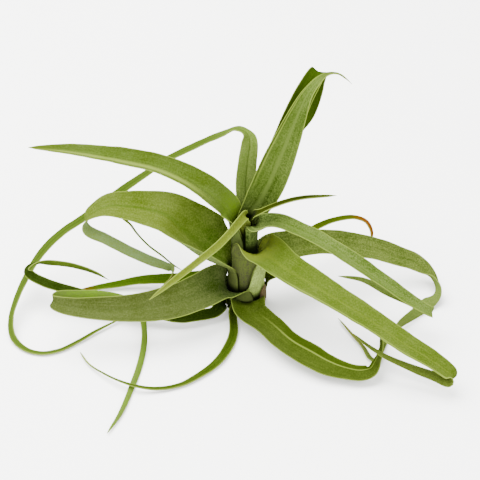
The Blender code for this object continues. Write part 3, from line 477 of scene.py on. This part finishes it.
class AirPlantLeafSettings(bpy.types.PropertyGroup):
    """Sizes and colours of the leaves"""
    thickness: bpy.props.FloatProperty(
        name="Thickness", description="Thickness of a blade at its midrib",
        default=0.8 * MM, min=0.3 * MM, max=1.5 * MM, precision=5, unit="LENGTH")
    station_step: bpy.props.FloatProperty(
        name="Step along", description="Distance between two cross-sections of a blade",
        default=0.7 * MM, min=0.3 * MM, max=3.0 * MM, precision=5, unit="LENGTH")
    columns: bpy.props.IntProperty(
        name="Columns", description="Faces across one side of a blade", default=28, min=8, max=64)
    midrib_depth: bpy.props.FloatProperty(
        name="Midrib depth", description="Depth of the groove along the middle of the upper face",
        default=0.35 * MM, min=0.0, max=1.0 * MM, precision=5, unit="LENGTH")
    ripple: bpy.props.FloatProperty(
        name="Ripple", description="How far a margin strays from its even line",
        default=0.35 * MM, min=0.0, max=1.5 * MM, precision=5, unit="LENGTH")
    vein_spacing: bpy.props.FloatProperty(
        name="Vein spacing", description="Distance between two lengthwise veins of a broad blade",
        default=1.3 * MM, min=0.3 * MM, max=4.0 * MM, precision=5, unit="LENGTH")
    scale_size: bpy.props.FloatProperty(
        name="Bloom grain", description="Size of the clumps of silvery scales on the skin",
        default=0.7 * MM, min=0.1 * MM, max=3.0 * MM, precision=5, unit="LENGTH")
    margin_width: bpy.props.FloatProperty(
        name="Margin width", description="Width of the pale line along a blade's margin",
        default=0.55 * MM, min=0.1 * MM, max=2.0 * MM, precision=5, unit="LENGTH")
    margin_colour: bpy.props.FloatVectorProperty(
        name="Margin colour", description="Colour of the thin, pale margin",
        default=srgb("#66742F"), size=4, min=0.0, max=1.0, subtype="COLOR")
    bloom_colour: bpy.props.FloatVectorProperty(
        name="Bloom colour", description="Tint of the silvery scales seen along the skin",
        default=srgb("#E6EBCB"), size=4, min=0.0, max=1.0, subtype="COLOR")


class AirPlantStageSettings(bpy.types.PropertyGroup):
    """Floor, light and lens"""
    floor_colour: bpy.props.FloatVectorProperty(
        name="Floor colour", description="Colour of the board under the plant",
        default=srgb("#FAFAF8"), size=4, min=0.0, max=1.0, subtype="COLOR")
    sky_strength: bpy.props.FloatProperty(
        name="Room light", description="Strength of the even light from all sides",
        default=1.9, min=0.0, max=10.0)
    key_power: bpy.props.FloatProperty(
        name="Key light", description="Power of the large lamp above the plant",
        default=80.0, min=0.0, max=500.0, subtype="POWER", unit="POWER")
    front_power: bpy.props.FloatProperty(
        name="Front light", description="Power of the large lamp beside the camera",
        default=30.0, min=0.0, max=500.0, subtype="POWER", unit="POWER")
    lens: bpy.props.FloatProperty(
        name="Lens", description="Focal length of the camera", default=150.0, min=20.0, max=400.0,
        unit="CAMERA")


def sight_vectors():
    """Unit vectors to the right, upward and towards the viewer, in the plant's frame."""
    rise, run = math.sin(SIGHT_ELEVATION), math.cos(SIGHT_ELEVATION)
    return np.array([1.0, 0.0, 0.0]), np.array([0.0, rise, run]), np.array([0.0, -run, rise])


def seen_point(right, up, height):
    """Place a point that is seen at (right, up) and lies at a height above the surface."""
    across, upward, towards = sight_vectors()
    centre = np.array(SIGHT_CENTRE)
    nearer = (height - centre[2] - up * upward[2]) / (towards[2] - up * upward[2] / SIGHT_DISTANCE)
    shrink = 1.0 - nearer / SIGHT_DISTANCE
    return centre + right * shrink * across + up * shrink * upward + nearer * towards


def seen_direction(right, up, nearer):
    """Turn a direction written along the line of sight into the plant's frame."""
    across, upward, towards = sight_vectors()
    return right * across + up * upward + nearer * towards


def ring_radius(ring, height):
    """Radius of a ring of leaf bases, which narrows evenly towards the foot of the bulb."""
    return RING_INNER_RADIUS + ring * RING_SPACING - BULB_TAPER * (1.0 - height / BULB_HEIGHT)


def sheath_rows(ring, azimuth, half_span, cling, top, mouth):
    """Control rows of the clasping base: place, width, channel half angle and face."""
    outward = np.array([math.cos(math.radians(azimuth)), math.sin(math.radians(azimuth)), 0.0])
    rows = []
    for height, opening, flare in ((SHEATH_FOOT, half_span, 0.0), (cling, half_span, 0.0),
                                   (top, mouth, MOUTH_FLARE)):
        radius = ring_radius(ring, height) + flare
        place = outward * radius + np.array([0.0, 0.0, height])
        width = 2.0 * radius * math.radians(0.5 * (half_span + opening))
        rows.append(np.concatenate((place, (width, math.radians(opening)), -outward)))
    return rows


def blade_rows(points):
    """Control rows of the free blade."""
    rows = []
    for right, up, height, width, channel, *face in points:
        if face:
            look = seen_direction(*face[0])
            look = look / np.linalg.norm(look)
        bend = math.radians(channel)
        depth = 0.5 * width / bend * (1.0 - math.cos(bend))
        place = seen_point(right, up, height) - 0.5 * depth * look
        rows.append(np.concatenate((place, (width, bend), look)))
    return rows


def smooth_rows(rows, step):
    """Pass a smooth curve through the control rows, with a station every step of its length."""
    rows = np.array(rows)
    spans = np.linalg.norm(np.diff(rows[:, :3], axis=0), axis=1)
    knots = np.concatenate(([0.0], np.cumsum(np.sqrt(spans))))
    before = np.diff(rows, axis=0) / np.diff(knots)[:, None]
    gaps = np.diff(knots)[:, None]
    slopes = np.empty_like(rows)
    slopes[0], slopes[-1] = before[0], before[-1]
    slopes[1:-1] = (before[:-1] * gaps[1:] + before[1:] * gaps[:-1]) / (gaps[1:] + gaps[:-1])
    result = []
    for index, span in enumerate(spans):
        gap = knots[index + 1] - knots[index]
        count = max(4, int(math.ceil(span / step)))
        for t in np.arange(count) / count:
            near = (1 + 2 * t) * (1 - t) ** 2 * rows[index] + t * (1 - t) ** 2 * gap * slopes[index]
            far = t * t * (3 - 2 * t) * rows[index + 1] + t * t * (t - 1) * gap * slopes[index + 1]
            result.append(near + far)
    result.append(rows[-1])
    return np.array(result)


def smooth_step(low, high, value):
    """Ease from 0 at low to 1 at high."""
    t = np.clip((value - low) / (high - low), 0.0, 1.0)
    return t * t * (3.0 - 2.0 * t)


def slow_wave(run, length, phases):
    """Irregular wave along a blade, about one swing in each length."""
    turns = 2.0 * math.pi * run / length
    return sum(size * np.sin(rate * turns + phase)
               for (size, rate), phase in zip(SWINGS, phases)) / SWING_SUM


def unit(vectors):
    """Vectors scaled to a length of one."""
    return vectors / np.linalg.norm(vectors, axis=-1, keepdims=True)


def wavering_lift(lift, across, run, width, free_from, settings, seed):
    """Heights over the strip's middle line, with wavering margins and the groove of the midrib."""
    rng = np.random.default_rng(seed)
    loose = (smooth_step(free_from + WAVER_START, free_from + WAVER_FULL, run)
             * np.clip(width / WAVER_WIDTH, LEAST_WAVER, 1.0))
    left, right = [
        slow_wave(run, length, rng.uniform(0.0, PHASE_RANGE, len(SWINGS))) for length in WAVE_LENGTHS]
    waver = np.where(across < 0.0, left[:, None], right[:, None])
    groove = (settings.midrib_depth / MM * np.clip(width / GROOVE_WIDTH, 0.0, 1.0)
              * smooth_step(0.0, GROOVE_RUN, run))
    lift = lift + settings.ripple / MM * loose[:, None] * waver * across ** 2
    return lift - groove[:, None] * np.exp(-(across / GROOVE_SPREAD) ** 2)


def strip_surfaces(rows, free_from, settings, seed, thinness=1.0):
    """Points of the upper and lower face of a strip, with the values its material reads.

    The section is an arc with a shallow groove at the midrib. It is thickest there and runs out
    to a rounded margin. Blades waver a little once they have left the bulb.
    """
    path = smooth_rows(rows, settings.station_step / MM)
    centre, channel = path[:, :3], path[:, 4]
    run = np.concatenate(([0.0], np.cumsum(np.linalg.norm(np.diff(centre, axis=0), axis=1))))
    taper = np.sqrt(np.clip((run[-1] - run) / TAPER_LENGTH, 0.0, 1.0))
    width = path[:, 3] * (TIP_SHARE + (1.0 - TIP_SHARE) * taper)
    tangent = unit(np.gradient(centre, run, axis=0))
    sideways = unit(np.cross(tangent, unit(path[:, 5:8])))
    upright = np.cross(sideways, tangent)
    across = np.sin(np.linspace(-0.5, 0.5, settings.columns + 1) * math.pi)[None, :]
    radius = 0.5 * width / channel
    turn = channel[:, None] * across
    lift = wavering_lift(radius[:, None] * (1.0 - np.cos(turn)), across, run, width, free_from,
                         settings, seed)
    middle = (centre[:, None, :] + sideways[:, None, :] * (radius[:, None] * np.sin(turn))[:, :, None]
              + upright[:, None, :] * lift[:, :, None])
    normal = unit(np.cross(np.gradient(middle, axis=1), np.gradient(middle, run, axis=0)))
    facing = np.sign(np.einsum("ijk,ik->ij", normal, upright).sum())
    half = 0.5 * thinness * settings.thickness / MM * np.clip(width / FULL_BODY_WIDTH, LEAST_BODY, 1.0)
    body = half[:, None] * np.sqrt(np.clip(1.0 - across ** 2, 0.0, 1.0)) ** 0.5
    shift = normal * (facing * body)[:, :, None]
    everywhere = np.ones(body.shape)
    values = {
        "across": across * everywhere,
        "along": (run / run[-1])[:, None] * everywhere,
        "run": run[:, None] * everywhere,
        "free": (run - free_from + SHEATH_FOOT)[:, None] * everywhere,
        "rim": 0.5 * width[:, None] * (1.0 - np.abs(across)),
        "behind": smooth_step(0.0, 5.0, middle[:, :, 1]),
    }
    return middle + shift, middle - shift, values


def closed_strip(name, upper, lower, values):
    """Closed mesh from a strip's two faces, which share their margins."""
    stations, columns = upper.shape[:2]
    points = np.concatenate((upper, lower[:, 1:-1]), axis=1)
    ring = points.shape[1]
    order = list(range(columns)) + list(range(ring - 1, columns - 1, -1))
    starts = np.arange(stations - 1)[:, None] * ring
    near = np.array(order)[None, :]
    far = np.roll(order, -1)[None, :]
    quads = np.stack((starts + near, starts + far, starts + ring + far, starts + ring + near), axis=-1)
    faces = quads.reshape(-1, 4).tolist()
    faces.append(order[::-1])
    faces.append([(stations - 1) * ring + place for place in order])
    mesh = bpy.data.meshes.new(name)
    mesh.from_pydata((points.reshape(-1, 3) * MM).tolist(), [], faces)
    whole = {key: np.concatenate((value, value[:, 1:-1]), axis=1) for key, value in values.items()}
    sides = (np.zeros((stations, columns)), np.ones((stations, columns - 2)))
    whole["under"] = np.concatenate(sides, axis=1)
    for key, value in whole.items():
        layer = mesh.attributes.new("leaf_" + key, "FLOAT", "POINT")
        layer.data.foreach_set("value", value.astype(np.float32).ravel())
    mesh.shade_smooth()
    mesh.update()
    mesh.validate()
    return mesh


def add_node(tree, kind, inputs=None, **settings):
    """Add a shader node, set its settings, and fill or link its inputs."""
    made = tree.nodes.new(kind)
    for key, value in settings.items():
        setattr(made, key, value)
    for key, value in (inputs or {}).items():
        if isinstance(value, bpy.types.NodeSocket):
            tree.links.new(value, made.inputs[key])
        else:
            made.inputs[key].default_value = value
    return made


def new_material(name):
    """New material and its empty node tree."""
    material = bpy.data.materials.new(name)
    material.use_nodes = True
    tree = material.node_tree
    tree.nodes.clear()
    return material, tree


def leaf_values(tree, keys):
    """Values that a strip's mesh carries."""
    return {key: add_node(tree, "ShaderNodeAttribute", attribute_name="leaf_" + key).outputs["Fac"]
            for key in keys}


def lengthwise_place(tree, values, across_rate, run_rate, shift=0.0):
    """Place for a lengthwise pattern, with its rates over half the width and over a millimetre."""
    sideways, lengthwise = [
        add_node(tree, "ShaderNodeMath", {0: values[key], 1: rate}, operation="MULTIPLY").outputs[0]
        for key, rate in (("across", across_rate), ("run", run_rate))]
    return add_node(tree, "ShaderNodeCombineXYZ", {"X": sideways, "Y": lengthwise, "Z": shift}).outputs[0]


def leaf_textures(tree, values, settings, seed):
    """Veins, clumps of scales, and the bloom that lies along veins, in patches and in clumps."""
    stripes = 0.5 * VEINED_WIDTH * MM / settings.vein_spacing
    vein_place = lengthwise_place(tree, values, stripes, 1.0 / VEIN_LENGTH, VEIN_SHIFT * seed)
    place = add_node(tree, "ShaderNodeTexCoord").outputs["Object"]
    # Scales are about 0.2 mm, too fine to show, so they are drawn in clumps
    veins, clumps, patches = [
        add_node(tree, "ShaderNodeTexNoise", {"Vector": vector, "Scale": scale, "Detail": detail,
                 "Roughness": ragged}).outputs["Fac"]
        for vector, scale, detail, ragged in ((vein_place, 1.0, 2.0, 0.6),
                                              (place, 1.0 / settings.scale_size, 3.0, 0.7),
                                              (place, 1.0 / (PATCH_SIZE * MM), 2.0, 0.5))]
    bloom = 0.0
    for pattern, bare, thick, most in ((veins, 0.4, 0.75, 0.3), (patches, 0.35, 0.75, 0.4),
                                       (clumps, 0.42, 0.62, 0.55)):
        share = add_node(tree, "ShaderNodeMapRange", {"Value": pattern, "From Min": bare,
                         "From Max": thick, "To Max": most}).outputs[0]
        bloom = add_node(tree, "ShaderNodeMath", {0: bloom, 1: share}, operation="ADD",
                         use_clamp=True).outputs[0]
    return veins, clumps, bloom


def leaf_shares(tree, values, look, margin_width):
    """How much of each tone shows at a place of the skin."""
    across, free, rim = values["across"], values["free"], values["rim"]
    away = add_node(tree, "ShaderNodeMath", {0: across}, operation="ABSOLUTE").outputs[0]
    side = math.copysign(1.0, look["half"])
    # Share, the value it follows, where it starts and stops changing, and its amounts there
    eased = [
        # deep colour near the mouth, painted as shade near the bulb
        ("face", free, 1.0, look["deep"], 0.0, 1.0),
        # painted shade on one half of the channel
        ("half", across, -0.05 * side, 0.25 * side, 0.0, abs(look["half"])),
        ("tip", values["along"], look["tip"], look["tip"] + 0.12, 0.0, 0.85),
        # painted highlight beside the midrib
        ("keel", away, 0.05, 0.2, look["keel"], 0.0),
        # deep colour painted as shade in the midrib groove
        ("groove", away, 0.0, 0.16, look["groove"], 0.0),
        # painted shade of the bulb's hollow, kept to the middle of the blade
        ("hollow_shade", free, look["black"] - 4.0, look["black"] + 1.0, 1.0, 0.0),
        ("middle", away, 0.2, 0.45, 1.0, 0.0),
        ("outside", free, -2.0, 30.0, 0.0, 1.0),
        # painted shade on the sheath under the mouths of outer leaves, left off behind the stem
        ("cover_shade", values["run"], look["cover"], look["cover"] + 5.0, 1.0, 0.0),
        ("margin", rim, 0.0, margin_width, 0.65, 0.0),
        # painted shadow line along a sheath's margin, below the mouth
        ("seam_shadow", rim, 0.35, 1.0, 1.0, 0.0),
        ("clasping", free, -2.0, 3.0, 1.0, 0.0),
    ]
    joined = [("face", "SUBTRACT", "half"), ("hollow_shade", "MULTIPLY", "middle"),
              ("cover_shade", "SUBTRACT", "behind"), ("seam_shadow", "MULTIPLY", "clasping")]
    # A pale band painted as the highlight of a fold; beyond it the blade is painted lighter as light for a
    # share above zero and deeper as shade below zero
    if look["crease"]:
        crease, band = look["crease"]
        fold = math.copysign(0.06, crease)
        off = add_node(tree, "ShaderNodeMath", {0: across, 1: crease}, operation="SUBTRACT").outputs[0]
        off = add_node(tree, "ShaderNodeMath", {0: off}, operation="ABSOLUTE").outputs[0]
        eased += [("grown", free, 12.0, 40.0, 0.0, 1.0),
                  ("wing", across, crease - fold, crease + fold, 0.0, abs(look["wing"])),
                  ("band", off, 0.015, band, 0.6, 0.0)]
        joined += [("wing", "MULTIPLY", "grown"), ("band", "MULTIPLY", "grown")]
    shares = {"behind": values["behind"]}
    for name, value, low, high, start, end in eased:
        shares[name] = add_node(tree, "ShaderNodeMapRange", {
            "Value": value, "From Min": low, "From Max": high, "To Min": start, "To Max": end},
            interpolation_type="SMOOTHSTEP").outputs[0]
    for name, operation, other in joined:
        shares[name] = add_node(tree, "ShaderNodeMath", {0: shares[name], 1: shares[other]},
                                operation=operation, use_clamp=True).outputs[0]
    seen = add_node(tree, "ShaderNodeMath", {0: 1.0, 1: shares["cover_shade"]}, operation="SUBTRACT").outputs[0]
    shares["margin"] = add_node(tree, "ShaderNodeMath", {0: shares["margin"], 1: seen},
                                operation="MULTIPLY").outputs[0]
    return shares


def leaf_colour(tree, below, bloom, shares, tones, wing, margin):
    """Colour of a leaf's skin, laid on in layers."""
    face, deep, light, tip, under, sheath = [srgb(tone) for tone in tones]
    # The underside carries more bloom, and below the mouth it has the grey of the sheath. Where the
    # mouths of outer leaves hide the sheath, it is painted dark green as their shade
    back = sheath
    for share, tone in ((shares["outside"], under), (bloom, light),
                        (shares["cover_shade"], srgb(COVER_SHADE_GREEN))):
        back = add_node(tree, "ShaderNodeMix", {"Factor": share, "A": back, "B": tone},
                        data_type="RGBA").outputs["Result"]
    # Past the shade painted near the base comes the face; one half of the channel stays deeper as painted
    # shade
    layers = [(shares["face"], face), (bloom, light)]
    # the fold's painted highlight and the painted light and shade beyond it
    if "wing" in shares:
        layers += [(shares["wing"], light if wing > 0.0 else deep), (shares["band"], margin)]
    # Then the tip colour, the painted highlight beside the midrib and the painted shade in the groove.
    # Near the mouth the upper face is painted blackish green, as the shade of the bulb's hollow
    layers += [(shares["tip"], tip), (shares["keel"], light), (shares["groove"], deep),
               (shares["hollow_shade"], srgb(PAINTED_SHADE_BLACK))]
    # Then comes the pale margin, and along a sheath's margin below the mouth a black line is painted
    # as the shadow between two sheaths
    layers += [(below, back), (shares["margin"], margin), (shares["seam_shadow"], srgb(PAINTED_SHADE_BLACK))]
    skin = deep
    for share, tone in layers:
        skin = add_node(tree, "ShaderNodeMix", {"Factor": share, "A": skin, "B": tone},
                        data_type="RGBA").outputs["Result"]
    return skin


def leaf_material(name, settings, seed):
    """Living leaf skin, grown: waxy green under a coat of fine silvery scales.

    The scales make it velvety and matt and paler at the margins. Light and shade are painted on too:
    a deeper green near the base and in the channel, black in the bulb's hollow, and pale lines where
    ridges catch the light. The veins run lengthwise and meet at the tip.
    """
    material, tree = new_material("living_skin_velvety_" + name)
    look = {**PLAIN_LOOK, **LOOKS[name]}
    values = leaf_values(tree, ("across", "along", "run", "free", "rim", "behind", "under"))
    veins, clumps, bloom = leaf_textures(tree, values, settings, seed)
    shares = leaf_shares(tree, values, look, settings.margin_width / MM)
    colour = leaf_colour(tree, values["under"], bloom, shares, TONES[name], look["wing"],
                         tuple(settings.margin_colour))
    relief = add_node(tree, "ShaderNodeMath", {0: veins, 1: 0.5}, operation="MULTIPLY").outputs[0]
    relief = add_node(tree, "ShaderNodeMath", {0: clumps, 1: 0.8, 2: relief},
                      operation="MULTIPLY_ADD").outputs[0]
    bump = add_node(tree, "ShaderNodeBump", {"Height": relief, "Strength": 0.7, "Distance": 0.3 * MM})
    matt = add_node(tree, "ShaderNodeMapRange", {"Value": clumps, "To Min": 0.5, "To Max": 0.72}).outputs[0]
    shader = add_node(tree, "ShaderNodeBsdfPrincipled", {
        "Base Color": colour, "Roughness": matt, "Normal": bump.outputs[0],
        "IOR": 1.45, "Specular IOR Level": 0.0, "Sheen Weight": 0.012, "Sheen Roughness": 0.4,
        "Sheen Tint": tuple(settings.bloom_colour)})
    add_node(tree, "ShaderNodeOutputMaterial", {"Surface": shader.outputs[0]})
    return material


def finish_fibres(tree, place, scale, ragged, ramp, relief, dullness):
    """Dead tissue with fibres, dark between them and pale on them, raised and dull."""
    fibres = add_node(tree, "ShaderNodeTexNoise", {"Vector": place, "Scale": scale, "Detail": 4.0,
                      "Roughness": ragged}).outputs["Fac"]
    colour = add_node(tree, "ShaderNodeValToRGB", {"Fac": fibres})
    for element, (position, tone) in zip(colour.color_ramp.elements, ramp):
        element.position = position
        element.color = srgb(tone)
    strength, depth = relief
    bump = add_node(tree, "ShaderNodeBump", {"Height": fibres, "Strength": strength,
                    "Distance": depth * MM})
    roughness, specular = dullness
    shader = add_node(tree, "ShaderNodeBsdfPrincipled", {
        "Base Color": colour.outputs["Color"], "Roughness": roughness, "Normal": bump.outputs[0],
        "IOR": 1.5, "Specular IOR Level": specular})
    add_node(tree, "ShaderNodeOutputMaterial", {"Surface": shader.outputs[0]})


def dry_leaf_material():
    """Dead leaf base, dried: thin, papery and brown, with fibres along it and pale worn ribs."""
    material, tree = new_material("dry_leaf_papery")
    # Fibres about 0.4 mm apart and 4 mm long
    place = lengthwise_place(tree, leaf_values(tree, ("across", "run")), 4.0, 0.12)
    finish_fibres(tree, place, 2.0, 0.65, ((0.3, "#1F170A"), (0.7, "#5C4E2B")), (0.6, 0.2), (0.85, 0.1))
    return material


def stem_material():
    """Old stem, grown and dried: dull brown bark-like tissue with fibres."""
    material, tree = new_material("stem_fibrous")
    place = add_node(tree, "ShaderNodeTexCoord").outputs["Object"]
    # Fibres about 1.1 mm wide and 4 mm long
    stretched = add_node(tree, "ShaderNodeMapping", {"Vector": place,
                         "Scale": (0.9 / MM, 0.9 / MM, 0.25 / MM)}).outputs[0]
    finish_fibres(tree, stretched, 1.0, 0.7, ((0.3, "#2A1E10"), (0.75, "#6E5636")), (0.8, 0.4), (0.9, 0.2))
    return material


def board_material(colour):
    """Painted board, rolled: an even matt white with a barely visible roller texture."""
    material, tree = new_material("painted_board_matt")
    place = add_node(tree, "ShaderNodeTexCoord").outputs["Object"]
    texture = add_node(tree, "ShaderNodeTexNoise", {"Vector": place, "Scale": 1.0 / (2.5 * MM),
                       "Detail": 2.0})
    bump = add_node(tree, "ShaderNodeBump", {"Height": texture.outputs["Fac"], "Strength": 0.05,
                    "Distance": 0.1 * MM})
    shader = add_node(tree, "ShaderNodeBsdfPrincipled", {
        "Base Color": colour, "Roughness": 0.8, "Normal": bump.outputs[0],
        "Specular IOR Level": 0.2})
    add_node(tree, "ShaderNodeOutputMaterial", {"Surface": shader.outputs[0]})
    return material


def place_piece(mesh, material, node):
    """Put a piece in the scene under its mesh's name, in place of a plain node of the frame."""
    mesh.materials.append(material)
    piece = bpy.data.objects.new(mesh.name, mesh)
    bpy.context.scene.collection.objects.link(piece)
    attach(piece, "root")
    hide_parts(node)


def grow_leaves(context, names):
    """Grow the named leaves over their plain solids."""
    settings = context.scene.air_plant_leaf
    for seed, (name, ring, azimuth, half_span, cling, top, mouth, points) in enumerate(LEAVES, start=1):
        if name not in names:
            continue
        rows = sheath_rows(ring, azimuth, half_span, cling, top, mouth) + blade_rows(points)
        mesh = closed_strip("fine_leaf_" + name, *strip_surfaces(rows, top, settings, seed))
        place_piece(mesh, leaf_material(name, settings, seed), "leaf_" + name)


class AIRPLANT_OT_low_leaves(bpy.types.Operator):
    """Grow the old leaves at the foot of the bulb"""
    bl_idname = "air_plant.low_leaves"
    bl_label = "Low leaves"

    def execute(self, context):
        grow_leaves(context, ("hanging_front", "low_left_loop", "low_back_left",
                              "arched_back_right", "low_front_right"))
        return {"FINISHED"}


class AIRPLANT_OT_broad_leaves(bpy.types.Operator):
    """Grow the broad leaves of the middle and the slim one among them"""
    bl_idname = "air_plant.broad_leaves"
    bl_label = "Broad leaves"

    def execute(self, context):
        grow_leaves(context, ("broad_left", "broad_right_back", "back_slim",
                              "curl_left", "broad_right_front"))
        return {"FINISHED"}


class AIRPLANT_OT_crown_leaves(bpy.types.Operator):
    """Grow the long and tall leaves of the crown"""
    bl_idname = "air_plant.crown_leaves"
    bl_label = "Crown leaves"

    def execute(self, context):
        grow_leaves(context, ("long_upper_left", "long_loop", "tall_back",
                              "right_upper", "tall_front"))
        return {"FINISHED"}


class AIRPLANT_OT_young_leaves(bpy.types.Operator):
    """Grow the two young leaves at the heart of the crown"""
    bl_idname = "air_plant.young_leaves"
    bl_label = "Young leaves"

    def execute(self, context):
        grow_leaves(context, ("young_left", "young_right"))
        return {"FINISHED"}


class AIRPLANT_OT_dry_bract(bpy.types.Operator):
    """Add the papery leaf base at the foot of the bulb"""
    bl_idname = "air_plant.dry_bract"
    bl_label = "Dry bract"

    def execute(self, context):
        rows = sheath_rows(BRACT_RING, BRACT_AZIMUTH, BRACT_HALF_SPAN, BRACT_CLING, BRACT_HEIGHT,
                           BRACT_HALF_SPAN)
        rows[-1][3] *= BRACT_END_SHARE
        surfaces = strip_surfaces(rows, BRACT_HEIGHT, context.scene.air_plant_leaf, BRACT_SEED,
                                  BRACT_THINNESS)
        place_piece(closed_strip("papery_bract", *surfaces), dry_leaf_material(), "dry_bract")
        return {"FINISHED"}


class AIRPLANT_OT_stem(bpy.types.Operator):
    """Give the stem its fibrous finish"""
    bl_idname = "air_plant.stem"
    bl_label = "Stem"

    def execute(self, context):
        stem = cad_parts["stem"]
        stem.data.materials.clear()
        stem.data.materials.append(stem_material())
        return {"FINISHED"}


def add_floor(context, settings):
    """Lay the board under the plant, just clear of its foot."""
    mesh = bpy.data.meshes.new("floor")
    corners = [(FLOOR_REACH * x, FLOOR_REACH * y, 0.0) for x, y in ((-1, -1), (1, -1), (1, 1), (-1, 1))]
    mesh.from_pydata(corners, [], [(0, 1, 2, 3)])
    mesh.materials.append(board_material(tuple(settings.floor_colour)))
    floor = bpy.data.objects.new("floor", mesh)
    floor.location.z = CAD_BOX[0].z - FLOOR_GAP
    context.scene.collection.objects.link(floor)


def add_lights(context, settings, centre):
    """Fill the room with even light and hang the two softboxes."""
    world = bpy.data.worlds.new("even_room_light")
    world.use_nodes = True
    background = world.node_tree.nodes["Background"]
    background.inputs["Color"].default_value = srgb("#FFFFFF")
    background.inputs["Strength"].default_value = settings.sky_strength
    context.scene.world = world
    for name, power, offset in (("key_softbox", settings.key_power, KEY_OFFSET),
                                ("front_softbox", settings.front_power, FRONT_OFFSET)):
        lamp = bpy.data.lights.new(name, "AREA")
        lamp.energy = power
        lamp.size = LAMP_SIDE
        box = bpy.data.objects.new(name, lamp)
        box.location = centre + Vector(offset)
        box.rotation_euler = (-Vector(offset)).to_track_quat("-Z", "Y").to_euler()
        context.scene.collection.objects.link(box)


def add_camera(context, settings, centre):
    """Set the camera on the line of sight."""
    lens = bpy.data.cameras.new("camera")
    lens.lens = settings.lens
    lens.sensor_width = SENSOR_WIDTH
    camera = bpy.data.objects.new("camera", lens)
    towards = Vector(seen_direction(0.0, 0.0, 1.0).tolist())
    camera.location = centre + towards * SIGHT_DISTANCE * MM
    camera.rotation_euler = (-towards).to_track_quat("-Z", "Y").to_euler()
    context.scene.collection.objects.link(camera)
    context.scene.camera = camera


class AIRPLANT_OT_stage(bpy.types.Operator):
    """Set up the floor, the lights and the camera"""
    bl_idname = "air_plant.stage"
    bl_label = "Stage"

    def execute(self, context):
        settings = context.scene.air_plant_stage
        centre = Vector(SIGHT_CENTRE) * MM
        add_floor(context, settings)
        add_lights(context, settings, centre)
        add_camera(context, settings, centre)
        return {"FINISHED"}


OPERATORS = (AIRPLANT_OT_stem, AIRPLANT_OT_dry_bract, AIRPLANT_OT_low_leaves, AIRPLANT_OT_broad_leaves,
             AIRPLANT_OT_crown_leaves, AIRPLANT_OT_young_leaves, AIRPLANT_OT_stage)


class AIRPLANT_PT_panel(bpy.types.Panel):
    """Sizes, colours and steps of the air plant"""
    bl_label = "Air plant"
    bl_idname = "AIRPLANT_PT_panel"
    bl_space_type = "VIEW_3D"
    bl_region_type = "UI"
    bl_category = "Air plant"

    def draw(self, context):
        for group in (context.scene.air_plant_leaf, context.scene.air_plant_stage):
            box = self.layout.box()
            for key in group.bl_rna.properties.keys():
                if key not in ("rna_type", "name"):
                    box.prop(group, key)
        for operator in OPERATORS:
            self.layout.operator(operator.bl_idname)


CLASSES = (AirPlantLeafSettings, AirPlantStageSettings, *OPERATORS, AIRPLANT_PT_panel)


def register():
    for item in CLASSES:
        bpy.utils.register_class(item)
    bpy.types.Scene.air_plant_leaf = bpy.props.PointerProperty(type=AirPlantLeafSettings)
    bpy.types.Scene.air_plant_stage = bpy.props.PointerProperty(type=AirPlantStageSettings)


def unregister():
    del bpy.types.Scene.air_plant_stage
    del bpy.types.Scene.air_plant_leaf
    for item in reversed(CLASSES):
        bpy.utils.unregister_class(item)


def main():
    register()
    bpy.ops.air_plant.stem()
    bpy.ops.air_plant.dry_bract()
    bpy.ops.air_plant.low_leaves()
    bpy.ops.air_plant.broad_leaves()
    bpy.ops.air_plant.crown_leaves()
    bpy.ops.air_plant.young_leaves()
    bpy.ops.air_plant.stage()


if __name__ == "__main__":
    main()
